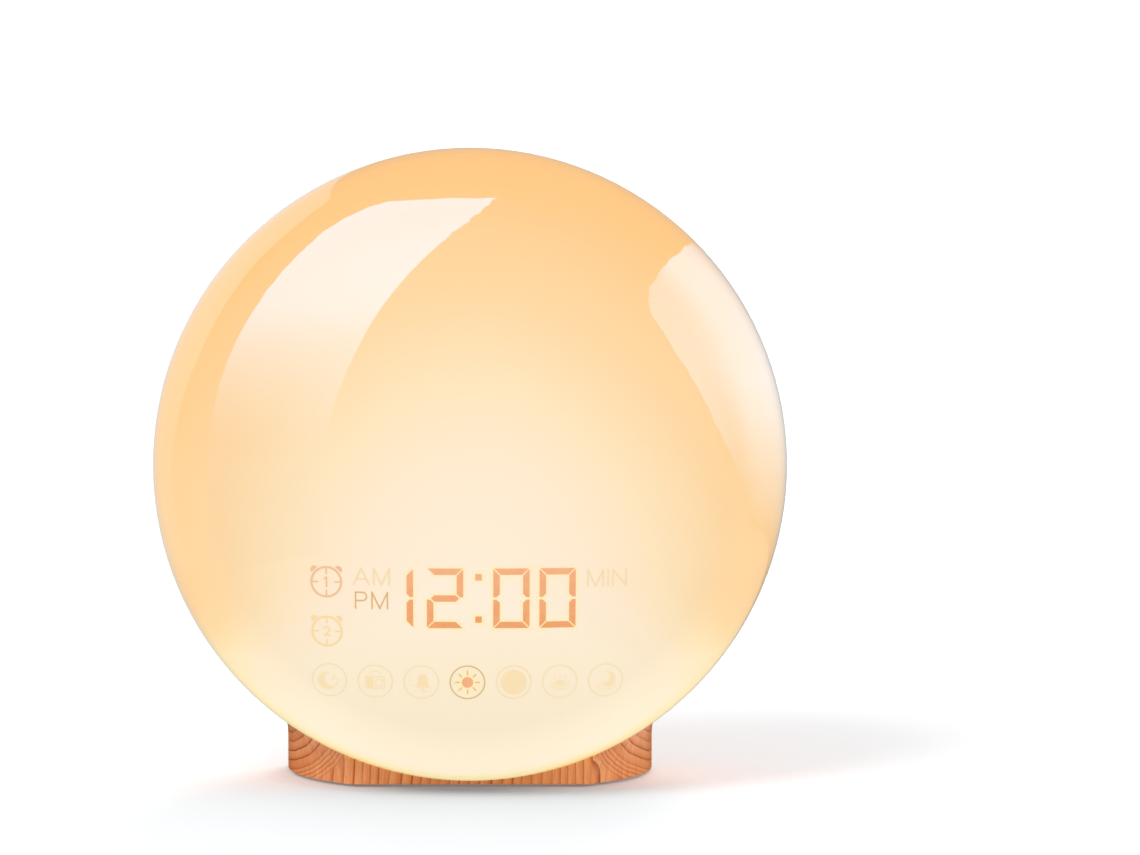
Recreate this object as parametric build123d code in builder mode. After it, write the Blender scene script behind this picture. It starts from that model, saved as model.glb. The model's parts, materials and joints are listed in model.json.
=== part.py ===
from build123d import *

import os
from math import asin, atan2, cos, degrees, pi, radians, sin, sqrt

os.makedirs("parts", exist_ok=True)

# Sunrise alarm clock: a glowing dome in front of a round housing that stands on a flared foot.
# Millimetres, +Z up. The dome faces -Y, and the origin is on the table under the middle of the clock.
# "Depth" is measured from the seam between dome and housing, positive towards the flat back.
# "Height" of a button or of its switch board is its distance from the disc's axis.

# ---------------------------------------------------------------- form
disc_radius = 85.0  # rim of the dome and front of the housing
back_taper = 5.0  # the disc's radius is this much smaller at the flat back, before its edge is rounded
housing_depth = 45.0  # seam to flat back
dome_depth = 45.0  # seam to the front of the dome
dome_lip = 2.0  # straight edge band of the dome behind its curve
dome_wall = 2.0
foot_front_width = 64.0
foot_back_width = 102.0
neck_front_radius = 8.0  # concave turn between disc and foot, at the seam
neck_back_radius = 30.0
foot_turn = 3.0  # power of the depth that is left, by which foot and neck widen
back_edge_round = 4.0
rim_gap = 1.5  # rim of the dome above the foot's bottom edge
foot_lift = 0.8  # the rubber feet hold the housing this far off the table
wall = 2.2
loft_stations = 6

# ---------------------------------------------------------------- fits and fasteners
slide_gap = 0.4  # round a button in its slot
fit_gap = 0.3  # round a piece that is dropped in
seat_gap = 0.1  # round a board in its clip
board_thickness = 1.6
screw_radius = 1.5
screw_head_radius = 2.8
screw_head_height = 1.6
small_screw_radius = 1.0
small_head_radius = 1.9
small_head_height = 1.2
screw_bite = 8.0  # length of a screw beyond the piece that it holds
post_radius = 3.5

# ---------------------------------------------------------------- front frame and light board
skirt_length = 3.0  # the dome's skirt reaches this far behind the seam
skirt_wall = 1.5
frame_thickness = 2.0
upper_post_turns = (45.0, 135.0, -16.0, 196.0)  # degrees about the disc's axis
upper_post_inset = 24.2  # from the frame's edge
lower_post_inset = 11.6
led_board_radius = 64.0
led_board_bottom = -18.0  # straight lower edge, from the disc's axis
led_standoff = 2.0
led_screw_places = ((42.0, -12.0), (-42.0, -12.0), (26.0, 52.0), (-26.0, 52.0))
led_size = 5.0
led_height = 1.6
led_ring_radius = 56.0
led_ring_count = 11
led_ring_start = -2.0  # degrees
led_inner_radius = 30.0
led_inner_count = 5
led_board_play = 0.3  # round the heads of the frame's screws

# ---------------------------------------------------------------- display
hood_width = 92.0
hood_height = 40.0
hood_middle = -41.0  # from the disc's axis
hood_wall = 1.2
hood_dome_gap = 0.6
hood_screw_gap = 5.0  # beside the hood, to the heads of the frame's lower screws
display_board_depth = -14.0  # front face of the display board
display_screw_x = 41.5
display_screw_middle = -45.0
display_post_radius = 2.75
ribbon_slot_middle = -30.0
ribbon_slot_length = 16.0
ribbon_slot_width = 4.0
digit_width = 9.4
digit_height = 15.8
digit_stroke = 1.7
digit_gap = 0.35
digit_middle = -31.9
digit_places = (-19.4, -6.45, 10.7, 22.65)
colon_place = 2.2
colon_spread = 11.2
symbol_radius = 4.4
symbol_middle = -53.6
symbol_pitch = 11.87
symbol_count = 7
alarm_symbol_radius = 4.0
alarm_symbol_place = -36.8
alarm_symbol_middles = (-27.9, -40.5)
word_height = 4.4
word_windows = ((-25.3, -26.5, 9.4), (-25.3, -32.5, 9.4), (35.5, -26.8, 11.4))  # x, z, width
guide_gap = 0.1

# ---------------------------------------------------------------- buttons
button_travel = 0.6
cap_recess = 0.9  # the caps lie this far below the housing's surface
cap_proud = 3.0  # except the one at mid height, which stands out
flange_lip = 1.2
flange_thickness = 1.2
stem_radius = 1.8
switch_side = 6.0
switch_body = 3.5
switch_plunger = 1.5
switch_plunger_radius = 1.7
stem_gap = 0.3  # left above the plunger with the button pressed
switch_board_drop = 19.0  # from the disc's radius to the boards' outer face
switch_board_width = 24.0
clip_width = 4.0
clip_rise = 2.0
clip_reach = 6.0
side_button_depth = 27.0
side_button_width = 9.0
strip_angle = 53.5
strip_pitch = 14.1
strip_gap = 0.5
pair_angle = 17.0
pair_spread = 13.1
upper_single_length = 15.0
lower_single_length = 13.5
snooze_length = 36.0
snooze_width = 20.0
snooze_depth = 25.0
side_board_length = 36.0
top_board_length = 30.0

# ---------------------------------------------------------------- main board
main_board_depth = 14.0
main_board_width = 84.0
main_board_height = 50.0
main_board_middle = 6.0
main_board_inset = 4.0
chip_places = ((-14.0, 4.0, 14.0), (12.0, 12.0, 8.0), (14.0, -6.0, 6.0), (30.0, 10.0, 5.0))
chip_height = 1.4
capacitor_places = ((-30.0, 14.0, 4.0), (-20.0, 14.0, 4.0), (-30.0, -2.0, 3.15), (4.0, 14.0, 3.15))
capacitor_height = 11.0
connector_places = ((-24.0, 25.0), (-8.0, 25.0), (8.0, 25.0), (24.0, 25.0))
connector_width = 10.0
connector_depth = 6.0
connector_height = 5.0
lead_drop = 2.5  # the ribbon and the leads run this far in front of the main board
lead_bend = 2.0
ribbon_width = 8.0
ribbon_thickness = 0.5
lead_radius = 0.5
lead_spread = 1.5

# ---------------------------------------------------------------- speaker
speaker_turn = -62.0  # degrees about the disc's axis
speaker_edge_gap = 1.0  # left to the wall at the flat back
speaker_radius = 20.0
speaker_mouth = 15.0
gasket_thickness = 1.0
speaker_flange = 1.5
basket_wall = 1.2
basket_depth = 11.0
basket_foot_radius = 12.0
magnet_radius = 13.0
magnet_depth = 6.0
magnet_floor = 2.4
pole_radius = 4.8
coil_radius = 6.3
coil_wall = 0.7
coil_play = 0.5
cap_rise = 2.5
surround_width = 2.4
surround_thickness = 0.8
speaker_screw_inset = 1.8
grille_hole_radius = 1.1
grille_pitch = 4.2
grille_rings = 3

# ---------------------------------------------------------------- foot
base_recess = 0.4
base_thickness = 3.0
rubber_foot_radius = 4.0
rubber_foot_pocket = 1.0
front_foot_x = 30.0
front_foot_depth = 9.0
back_foot_x = 38.0
back_foot_gap = 11.8  # from the inside of the flat back
base_boss_radius = 5.0
base_boss_bite = 0.6
base_boss_top = 15.0  # above the table
base_boss_depth = 16.0
base_boss_x = 33.0
head_pocket_radius = 3.1
head_pocket_depth = 1.7
door_x = -10.0
door_shift = 0.1  # back from midway between front frame and flat back
door_radius = 11.7
lug_reach = 1.9
lug_height = 1.0
lug_angle = 30.0
lug_entry_angle = 36.0
lug_turn = 60.0  # degrees from locked to free
coin_slot_length = 12.0
coin_slot_width = 1.6
cell_radius = 10.0
cell_thickness = 3.2
cell_clip_thickness = 0.4
cell_clip_width = 6.0
holder_wall = 1.6
jack_x = 22.0
jack_height = 11.5  # above the table
jack_width = 9.0
jack_rise = 11.0
jack_length = 13.0
jack_nose_radius = 3.9
jack_bore_radius = 2.85
jack_bore_depth = 9.0
jack_pin_radius = 1.0
jack_pin_recess = 1.0

# ---------------------------------------------------------------- derived places
seam = (dome_depth - housing_depth) / 2
axis_z = foot_lift + rim_gap + disc_radius
foot_bottom = -(disc_radius + rim_gap)  # from the disc's axis
inner_back = housing_depth - wall
mouth_radius = disc_radius - wall
frame_radius = mouth_radius - slide_gap
frame_seat = skirt_length + frame_thickness
skirt_mouth = frame_radius - skirt_wall
switch_board_height = disc_radius - switch_board_drop
speaker_reach = disc_radius - back_taper - wall - speaker_radius - speaker_edge_gap
speaker_x = speaker_reach * cos(radians(speaker_turn))
speaker_z = speaker_reach * sin(radians(speaker_turn))
speaker_screw_ring = speaker_radius - speaker_screw_inset
lower_post_x = hood_width / 2 + hood_screw_gap + screw_head_radius
lower_post_z = -sqrt((frame_radius - lower_post_inset) ** 2 - lower_post_x**2)
door_depth = (frame_seat + inner_back) / 2 + door_shift
back_foot_depth = inner_back - back_foot_gap
rubber_foot_places = [(side * front_foot_x, front_foot_depth) for side in (-1, 1)]
rubber_foot_places += [(side * back_foot_x, back_foot_depth) for side in (-1, 1)]
ribbon_x = connector_places[1][0]
strip_button_length = strip_pitch - strip_gap
strip_length = 3 * strip_pitch - strip_gap


def upright(depth):
    """Plane at a depth, with its origin on the disc's axis and its normal towards the viewer."""
    return Plane(origin=(0, seam + depth, axis_z), x_dir=(1, 0, 0), z_dir=(0, -1, 0))


def level(height, x=0.0, depth=0.0):
    """Plane at a height above the table, with its origin at x and a depth."""
    return Plane(origin=(x, seam + depth, height), x_dir=(1, 0, 0), z_dir=(0, 0, 1))


def radial(angle, depth, height):
    """Plane across the radius at an angle: its x runs round the disc and its normal points outwards."""
    across, up = cos(radians(angle)), sin(radians(angle))
    place = (height * across, seam + depth, axis_z + height * up)
    return Plane(origin=place, x_dir=(-up, 0, across), z_dir=(across, 0, up))


def bow(length, drop, at):
    """Fall, at a distance from its level end, of an arc that falls by drop over length."""
    radius = (length**2 + drop**2) / (2 * drop)
    return radius - sqrt(radius**2 - at**2)


def ring_places(turns, radius):
    """Places about the disc's axis, at the given turns and radius."""
    return [(radius * cos(radians(turn)), radius * sin(radians(turn))) for turn in turns]


def on_side(turn, side):
    """Turn about the disc's axis on the right side, 1, or its mirror image on the left, -1."""
    return turn if side > 0 else 180 - turn


def disc_radius_at(depth):
    return disc_radius - bow(housing_depth, back_taper, depth)


def widened(front, back, depth):
    """Size that grows from the seam, fast at first, and is level at the flat back."""
    return back - (back - front) * (1 - depth / housing_depth) ** foot_turn


def foot_half_at(depth):
    return widened(foot_front_width, foot_back_width, depth) / 2


def case_outline(depth, inset, bottom):
    """Outline of disc, necks and foot at a depth, moved in by inset."""
    reach = disc_radius_at(depth) - inset
    half = foot_half_at(depth) - inset
    neck = widened(neck_front_radius, neck_back_radius, depth) + inset
    neck_x = half + neck
    neck_z = -sqrt((reach + neck) ** 2 - neck_x**2)
    share = reach / (reach + neck)
    middle = (pi + atan2(-neck_z, -neck_x)) / 2
    touch = (neck_x * share, neck_z * share)
    bend = (neck_x + neck * cos(middle), neck_z + neck * sin(middle))
    Polyline((-half, neck_z), (-half, bottom), (half, bottom), (half, neck_z))
    ThreePointArc((half, neck_z), bend, touch)
    ThreePointArc(touch, (0, reach), (-touch[0], touch[1]))
    ThreePointArc((-touch[0], touch[1]), (-bend[0], bend[1]), (-half, neck_z))


def case_form(inset, front, back, bottom):
    """Solid of the housing's form between two depths, moved in by inset."""
    with BuildPart() as form:
        for station in range(loft_stations):
            depth = front + (back - front) * station / (loft_stations - 1)
            with BuildSketch(upright(depth)):
                with BuildLine():
                    case_outline(depth, inset, bottom)
                make_face()
        loft()
    return form.part


def dome_form(inset, back):
    """Solid of the dome's form from a depth forwards, moved in by inset."""
    with BuildPart() as form:
        with BuildSketch(turning_plane(0, 0)):
            with BuildLine():
                curve = dome_curve(inset)
                Polyline(curve @ 0, (back, disc_radius - inset), (back, 0), curve @ 1)
            make_face()
        revolve(axis=turning_axis(0, 0))
    return form.part


def dome_curve(inset):
    """Quarter ellipse of the dome's section, from its lip to its front, moved in by inset."""
    front = dome_depth - inset
    rise = disc_radius - inset
    pull = 4 * (sqrt(2) - 1) / 3  # places the handles so that the curve follows an ellipse
    handles = ((-dome_lip - pull * (front - dome_lip), rise), (-front, pull * rise))
    return Bezier((-dome_lip, rise), *handles, (-front, 0))


def turning_plane(x, z):
    """Plane of (depth, radius) through an axis that runs front to back."""
    return Plane(origin=(x, seam, axis_z + z), x_dir=(0, 1, 0), z_dir=(1, 0, 0))


def turning_axis(x, z):
    return Axis((x, seam, axis_z + z), (0, 1, 0))


def turned(corners, x=0.0, z=0.0):
    """Solid turned from (depth, radius) corners about an axis that runs front to back."""
    with BuildPart() as form:
        with BuildSketch(turning_plane(x, z)):
            with BuildLine():
                Polyline(*corners, close=True)
            make_face()
        revolve(axis=turning_axis(x, z))
    return form.part


def turned_upright(corners, x, depth):
    """Solid turned from (radius, height) corners about a vertical axis."""
    with BuildPart() as form:
        with BuildSketch(Plane(origin=(x, seam + depth, 0), x_dir=(1, 0, 0), z_dir=(0, -1, 0))):
            with BuildLine():
                Polyline(*corners, close=True)
            make_face()
        revolve(axis=Axis((x, seam + depth, 0), (0, 0, 1)))
    return form.part


def screws(places, plane, held, radius, head_radius, head_height, bite):
    """Screws along a plane's normal: heads on the plane, shanks through held and on by bite."""
    with BuildPart() as group:
        with BuildSketch(plane):
            with Locations(*places):
                Circle(head_radius)
        extrude(amount=head_height)
        with BuildSketch(plane):
            with Locations(*places):
                Circle(radius)
        extrude(amount=-(held + bite))
    return group


def save(builder, name):
    builder.part.label = name
    export_step(builder.part, f"parts/{name}.step")


# ================================================================ buttons and their slots
def flange_top(offset, length, depth, width):
    """Height at which a button's flange clears the inside of the housing."""
    reach = disc_radius_at(depth + width / 2 + flange_lip) - wall
    side = abs(offset) + length / 2
    return sqrt(reach**2 - side**2) - fit_gap


def cap_outline(length, width, ends, grow=0.0):
    """Outline of a cap: ends is the sides that are round, -1 and 1 along the slot."""
    radius = width / 2 + grow
    Rectangle(length + 2 * grow - 2 * radius, 2 * radius)
    for side in (-1, 1):
        middle = side * (length / 2 + grow - radius)
        if side in ends:
            with Locations((middle, 0)):
                Circle(radius)
        else:
            with Locations((middle + side * radius / 2, 0)):
                Rectangle(radius, 2 * radius)


def button(angle, offset, length, width, depth, ends, skin):
    """Button with its cap cut to the skin, a flange behind the slot and a stem above its switch."""
    top = flange_top(offset, length, depth, width)
    bottom = top - flange_thickness
    stem_end = switch_board_height + switch_body + switch_plunger + stem_gap + button_travel
    with BuildPart() as piece:
        with BuildSketch(radial(angle, depth, top)):
            with Locations((offset, 0)):
                cap_outline(length, width, ends)
        extrude(amount=disc_radius + 2 * cap_proud - top)
        add(skin, mode=Mode.INTERSECT)
        with BuildSketch(radial(angle, depth, top)):
            with Locations((offset, 0)):
                Rectangle(length, width + 2 * flange_lip)
        extrude(amount=-flange_thickness)
        with BuildSketch(radial(angle, depth, bottom)):
            with Locations((offset, 0)):
                Circle(stem_radius)
        extrude(amount=stem_end - bottom)
    return piece


upper_post_places = ring_places(upper_post_turns, frame_radius - upper_post_inset)
frame_post_places = upper_post_places + [(side * lower_post_x, lower_post_z) for side in (-1, 1)]

# Each slot: name of its switch board's group, its angle, the offset along the board, and its size.
slots = [("top", 90.0, 0.0, snooze_length, snooze_width, snooze_depth)]
# Each button: node name, angle, offset, length, width, depth, round ends, whether it stands proud.
buttons = [("snooze_button", 90.0, 0.0, snooze_length, snooze_width, snooze_depth, (-1, 1), False)]
for side_name, mirrored in (("right", 1), ("left", -1)):
    strip_at = on_side(strip_angle, mirrored)
    pair_at = on_side(pair_angle, mirrored)
    size = (side_button_width, side_button_depth)
    slots.append((f"{side_name}_upper", strip_at, 0.0, strip_length, *size))
    slots.append((f"{side_name}_lower", pair_at, mirrored * pair_spread, upper_single_length, *size))
    slots.append((f"{side_name}_lower", pair_at, -mirrored * pair_spread, lower_single_length, *size))
    for number in range(3):
        offset = mirrored * (1 - number) * strip_pitch
        ends = ((mirrored,), (), (-mirrored,))[number]
        label = f"{side_name}_button_{number + 1}"
        buttons.append((label, strip_at, offset, strip_button_length, *size, ends, False))
    offset = mirrored * pair_spread
    buttons.append((f"{side_name}_button_4", pair_at, offset, upper_single_length, *size, (-1, 1), False))
    buttons.append((f"{side_name}_button_5", pair_at, -offset, lower_single_length, *size, (-1, 1), True))

recessed_skin = case_form(cap_recess, 0, housing_depth, foot_bottom)
proud_skin = case_form(-cap_proud, 0, housing_depth, foot_bottom)
for label, angle, offset, length, width, depth, ends, proud in buttons:
    save(button(angle, offset, length, width, depth, ends, proud_skin if proud else recessed_skin), label)

# ================================================================ switch boards
boards = {"top": (90.0, top_board_length)}
for side_name, mirrored in (("right", 1), ("left", -1)):
    boards[f"{side_name}_upper"] = (on_side(strip_angle, mirrored), side_board_length)
    boards[f"{side_name}_lower"] = (on_side(pair_angle, mirrored), side_board_length)
for group, (angle, length) in boards.items():
    with BuildPart() as switch_board:
        with BuildSketch(radial(angle, inner_back - switch_board_width / 2, switch_board_height)):
            Rectangle(length, switch_board_width)
        extrude(amount=-board_thickness)
    save(switch_board, f"{group}_switch_board")

with BuildPart() as tact_switches:
    for label, angle, offset, length, width, depth, ends, proud in buttons:
        with BuildSketch(radial(angle, depth, switch_board_height)):
            with Locations((offset, 0)):
                Rectangle(switch_side, switch_side)
        extrude(amount=switch_body)
        with BuildSketch(radial(angle, depth, switch_board_height + switch_body)):
            with Locations((offset, 0)):
                Circle(switch_plunger_radius)
        extrude(amount=switch_plunger)
save(tact_switches, "tact_switches")

# ================================================================ rear housing
base_bottom = foot_lift + base_recess  # above the table
base_top = base_bottom + base_thickness
boss_places = []
for side in (-1, 1):
    wall_side = foot_half_at(base_boss_depth) - wall - base_boss_radius + base_boss_bite
    boss_places.append((side * wall_side, base_boss_depth))
    boss_places.append((side * base_boss_x, inner_back - base_boss_radius + base_boss_bite))
main_post_places = []
for side in (-1, 1):
    for end in (-1, 1):
        post_x = side * (main_board_width / 2 - main_board_inset)
        post_z = main_board_middle + end * (main_board_height / 2 - main_board_inset)
        main_post_places.append((post_x, post_z))
speaker_screw_places = []
for quarter in range(4):
    turn = radians(45 + 90 * quarter)
    at = (speaker_x + speaker_screw_ring * cos(turn), speaker_z + speaker_screw_ring * sin(turn))
    speaker_screw_places.append(at)
jack_z = jack_height - axis_z
main_board_back = main_board_depth + board_thickness

with BuildPart() as rear_housing:
    add(case_form(0, 0, housing_depth, foot_bottom))
    back_edges = rear_housing.faces().sort_by(Axis.Y)[-1].edges().sort_by(Axis.Z)[1:]
    fillet(back_edges, radius=back_edge_round)
    add(case_form(wall, wall, inner_back, foot_bottom - foot_lift), mode=Mode.SUBTRACT)
    with BuildSketch(upright(0)):
        Circle(mouth_radius)
    extrude(amount=-frame_seat, mode=Mode.SUBTRACT)
    # posts for the front frame and the main board
    with BuildSketch(upright(inner_back)):
        with Locations(*frame_post_places):
            Circle(post_radius)
    extrude(amount=inner_back - frame_seat)
    with BuildSketch(upright(inner_back)):
        with Locations(*main_post_places):
            Circle(post_radius)
    extrude(amount=inner_back - main_board_back)
    with BuildSketch(upright(frame_seat)):
        with Locations(*frame_post_places):
            Circle(screw_radius)
    extrude(amount=-screw_bite, mode=Mode.SUBTRACT)
    with BuildSketch(upright(main_board_back)):
        with Locations(*main_post_places):
            Circle(screw_radius)
    extrude(amount=-screw_bite, mode=Mode.SUBTRACT)
    # clips that hold the switch boards
    for angle, length in boards.values():
        with BuildSketch(upright(inner_back)):
            for end in (-1, 1):
                for edge in (seat_gap + clip_rise / 2, -board_thickness - seat_gap - clip_rise / 2):
                    turn = radians(angle)
                    across = end * (length / 2 - clip_width)
                    out = switch_board_height + edge
                    at = (out * cos(turn) - across * sin(turn), out * sin(turn) + across * cos(turn))
                    with Locations(Location((at[0], at[1], 0), (0, 0, 1), angle)):
                        Rectangle(clip_rise, clip_width)
        extrude(amount=clip_reach)
    # bosses for the base plate, along the walls of the foot
    with BuildSketch(level(base_top)):
        with Locations(*boss_places):
            Circle(base_boss_radius)
    extrude(amount=base_boss_top - base_top)
    with BuildSketch(level(base_top)):
        with Locations(*boss_places):
            Circle(screw_radius)
    extrude(amount=screw_bite, mode=Mode.SUBTRACT)
    # button slots
    for group, angle, offset, length, width, depth in slots:
        with BuildSketch(radial(angle, depth, switch_board_height)):
            with Locations((offset, 0)):
                SlotOverall(length + 2 * slide_gap, width + 2 * slide_gap)
        extrude(amount=disc_radius - switch_board_height + wall, mode=Mode.SUBTRACT)
    # speaker grille, its screws, and the power inlet
    with BuildSketch(upright(housing_depth)):
        with Locations((speaker_x, speaker_z)):
            Circle(grille_hole_radius)
            for ring in range(1, grille_rings + 1):
                with PolarLocations(ring * grille_pitch, 6 * ring):
                    Circle(grille_hole_radius)
    extrude(amount=wall, mode=Mode.SUBTRACT)
    with BuildSketch(upright(inner_back)):
        with Locations(*speaker_screw_places):
            Circle(small_screw_radius)
    extrude(amount=-wall / 2, mode=Mode.SUBTRACT)
    with BuildSketch(upright(housing_depth)):
        with Locations((jack_x, jack_z)):
            Circle(jack_nose_radius + seat_gap)
    extrude(amount=wall, mode=Mode.SUBTRACT)
save(rear_housing, "rear_housing")

# ================================================================ dome, front frame, light board
with BuildPart() as diffuser_dome:
    with BuildSketch(turning_plane(0, 0)):
        with BuildLine():
            outer = dome_curve(0)
            inner = dome_curve(dome_wall)
            Line(outer @ 1, inner @ 1)
            Polyline(
                inner @ 0,
                (-dome_lip, skirt_mouth),
                (skirt_length, skirt_mouth),
                (skirt_length, frame_radius),
                (0, frame_radius),
                (0, disc_radius),
                outer @ 0,
            )
        make_face()
    revolve(axis=turning_axis(0, 0))
save(diffuser_dome, "diffuser_dome")

display_board_back = display_board_depth + board_thickness
display_post_places = [(side * display_screw_x, display_screw_middle) for side in (-1, 0, 1)]
led_board_back = skirt_length - led_standoff
led_board_front = led_board_back - board_thickness

with BuildPart() as front_frame:
    with BuildSketch(upright(skirt_length)):
        Circle(frame_radius)
        with Locations(*frame_post_places):
            Circle(screw_radius, mode=Mode.SUBTRACT)
        with Locations((ribbon_x, ribbon_slot_middle)):
            SlotOverall(ribbon_slot_length, ribbon_slot_width, mode=Mode.SUBTRACT)
    extrude(amount=-frame_thickness)
    with BuildSketch(upright(skirt_length)):
        with Locations(*led_screw_places):
            Circle(post_radius)
    extrude(amount=led_standoff)
    with BuildSketch(upright(skirt_length)):
        with Locations(*display_post_places):
            Circle(display_post_radius)
    extrude(amount=skirt_length - display_board_back)
    with BuildSketch(upright(led_board_back)):
        with Locations(*led_screw_places):
            Circle(small_screw_radius)
    extrude(amount=-led_standoff, mode=Mode.SUBTRACT)
    with BuildSketch(upright(display_board_back)):
        with Locations(*display_post_places):
            Circle(small_screw_radius)
    extrude(amount=-led_standoff, mode=Mode.SUBTRACT)
save(front_frame, "front_frame")

with BuildPart() as led_board:
    with BuildSketch(upright(led_board_back)):
        Circle(led_board_radius)
        with Locations((0, led_board_bottom - led_board_radius)):
            Rectangle(2 * led_board_radius, 2 * led_board_radius, mode=Mode.SUBTRACT)
        with Locations(*led_screw_places):
            Circle(small_screw_radius, mode=Mode.SUBTRACT)
        with Locations(*upper_post_places):
            Circle(screw_head_radius + led_board_play, mode=Mode.SUBTRACT)
    extrude(amount=board_thickness)
save(led_board, "led_board")

led_span = 180 - 2 * led_ring_start
with BuildPart() as light_leds:
    with BuildSketch(upright(led_board_front)):
        with PolarLocations(led_ring_radius, led_ring_count, led_ring_start, led_span, endpoint=True):
            Rectangle(led_size, led_size)
        with PolarLocations(led_inner_radius, led_inner_count, 0, 180, endpoint=True):
            Rectangle(led_size, led_size)
        Rectangle(led_size, led_size)
    extrude(amount=led_height)
save(light_leds, "light_leds")


# ================================================================ display
def bar(length, width, upright_bar):
    """Segment of a digit, with both ends mitred."""
    tip = (length / 2, 0)
    shoulder = ((length - width) / 2, width / 2)
    corners = [tip, shoulder, (-shoulder[0], shoulder[1]), (-tip[0], 0)]
    corners += [(-shoulder[0], -shoulder[1]), (shoulder[0], -shoulder[1])]
    if upright_bar:
        corners = [(z, x) for x, z in corners]
    Polygon(*corners, align=None)


def display_windows(grow):
    """Windows of the display: digits, colon, words and symbols, enlarged by grow."""
    stroke = digit_stroke + 2 * grow
    side = (digit_width - digit_stroke) / 2
    rise = (digit_height - digit_stroke) / 2
    for number, place in enumerate(digit_places):
        for end in (-1, 1):
            # the first digit only ever shows a one
            for column in (-1, 1) if number else (1,):
                with Locations((place + column * side, digit_middle + end * rise / 2)):
                    bar(rise - digit_gap + 2 * grow, stroke, True)
        for row in (-1, 0, 1) if number else ():
            with Locations((place, digit_middle + row * rise)):
                bar(2 * side - digit_gap + 2 * grow, stroke, False)
    for end in (-1, 1):
        with Locations((colon_place, digit_middle + end * colon_spread / 2)):
            Rectangle(stroke, stroke)
    for x, z, width in word_windows:
        with Locations((x, z)):
            Rectangle(width + 2 * grow, word_height + 2 * grow)
    for middle in alarm_symbol_middles:
        with Locations((alarm_symbol_place, middle)):
            Circle(alarm_symbol_radius + grow)
    for number in range(symbol_count):
        with Locations(((number - (symbol_count - 1) / 2) * symbol_pitch, symbol_middle)):
            Circle(symbol_radius + grow)


def hood_block(inset):
    """Solid from the frame to the inside of the dome, moved in by inset from the hood's outside."""
    with BuildPart() as block:
        with BuildSketch(upright(skirt_length)):
            with Locations((0, hood_middle)):
                Rectangle(hood_width - 2 * inset, hood_height - 2 * inset)
            Circle(skirt_mouth - fit_gap - inset, mode=Mode.INTERSECT)
        extrude(amount=skirt_length + dome_depth)
        add(dome_form(dome_wall + hood_dome_gap + inset, skirt_length), mode=Mode.INTERSECT)
    return block.part


with BuildPart() as display_hood:
    add(hood_block(0))
    add(hood_block(hood_wall), mode=Mode.SUBTRACT)
    with BuildSketch(upright(display_board_depth)):
        display_windows(guide_gap)
    extrude(amount=dome_depth, mode=Mode.SUBTRACT)
save(display_hood, "display_hood")

with BuildPart() as display_board:
    add(hood_block(hood_wall + fit_gap))
    with BuildSketch(upright(display_board_back)):
        Circle(disc_radius)
        with Locations(*display_post_places):
            Circle(small_screw_radius, mode=Mode.SUBTRACT)
    extrude(amount=board_thickness, mode=Mode.INTERSECT)
save(display_board, "display_board")

with BuildPart() as display_light_guides:
    with BuildSketch(upright(display_board_depth)):
        display_windows(0)
    extrude(amount=dome_depth)
    add(hood_block(0), mode=Mode.INTERSECT)
save(display_light_guides, "display_light_guides")

# ================================================================ main board
with BuildPart() as main_board:
    with BuildSketch(upright(main_board_back)):
        with Locations((0, main_board_middle)):
            Rectangle(main_board_width, main_board_height)
        with Locations(*main_post_places):
            Circle(screw_radius, mode=Mode.SUBTRACT)
    extrude(amount=board_thickness)
save(main_board, "main_board")

with BuildPart() as main_board_chips:
    with BuildSketch(upright(main_board_depth)):
        for x, z, size in chip_places:
            with Locations((x, z)):
                Rectangle(size, size)
    extrude(amount=chip_height)
save(main_board_chips, "main_board_chips")

with BuildPart() as main_board_capacitors:
    with BuildSketch(upright(main_board_back)):
        for x, z, radius in capacitor_places:
            with Locations((x, z)):
                Circle(radius)
    extrude(amount=-capacitor_height)
save(main_board_capacitors, "main_board_capacitors")

with BuildPart() as main_board_connectors:
    with BuildSketch(upright(main_board_depth)):
        with Locations(*connector_places):
            Rectangle(connector_width, connector_depth)
    extrude(amount=connector_height)
save(main_board_connectors, "main_board_connectors")

# ================================================================ speaker
flange_back = inner_back - gasket_thickness
flange_front = flange_back - speaker_flange
basket_front = flange_back - basket_depth
basket_neck = basket_front + basket_wall
cone_front = basket_neck + basket_wall
surround_back = flange_front + surround_thickness
cone_rim = speaker_mouth - surround_width
at_speaker = (speaker_x, speaker_z)

with BuildPart() as speaker_gasket:
    with BuildSketch(upright(inner_back)):
        with Locations(at_speaker):
            Circle(speaker_radius)
            Circle(speaker_mouth, mode=Mode.SUBTRACT)
        with Locations(*speaker_screw_places):
            Circle(small_screw_radius, mode=Mode.SUBTRACT)
    extrude(amount=gasket_thickness)
save(speaker_gasket, "speaker_gasket")

with BuildPart() as speaker_basket:
    add(
        turned(
            (
                (flange_back, speaker_mouth),
                (flange_back, speaker_radius),
                (flange_front, speaker_radius),
                (flange_front, speaker_mouth + basket_wall),
                (basket_neck, basket_foot_radius),
                (basket_front, basket_foot_radius),
                (basket_front, coil_radius + basket_wall),
                (basket_neck, coil_radius + basket_wall),
                (basket_neck, basket_foot_radius - basket_wall),
                (flange_front, speaker_mouth),
            ),
            *at_speaker,
        )
    )
    with BuildSketch(upright(flange_front)):
        with Locations(*speaker_screw_places):
            Circle(small_screw_radius)
    extrude(amount=-speaker_flange, mode=Mode.SUBTRACT)
save(speaker_basket, "speaker_basket")

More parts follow.
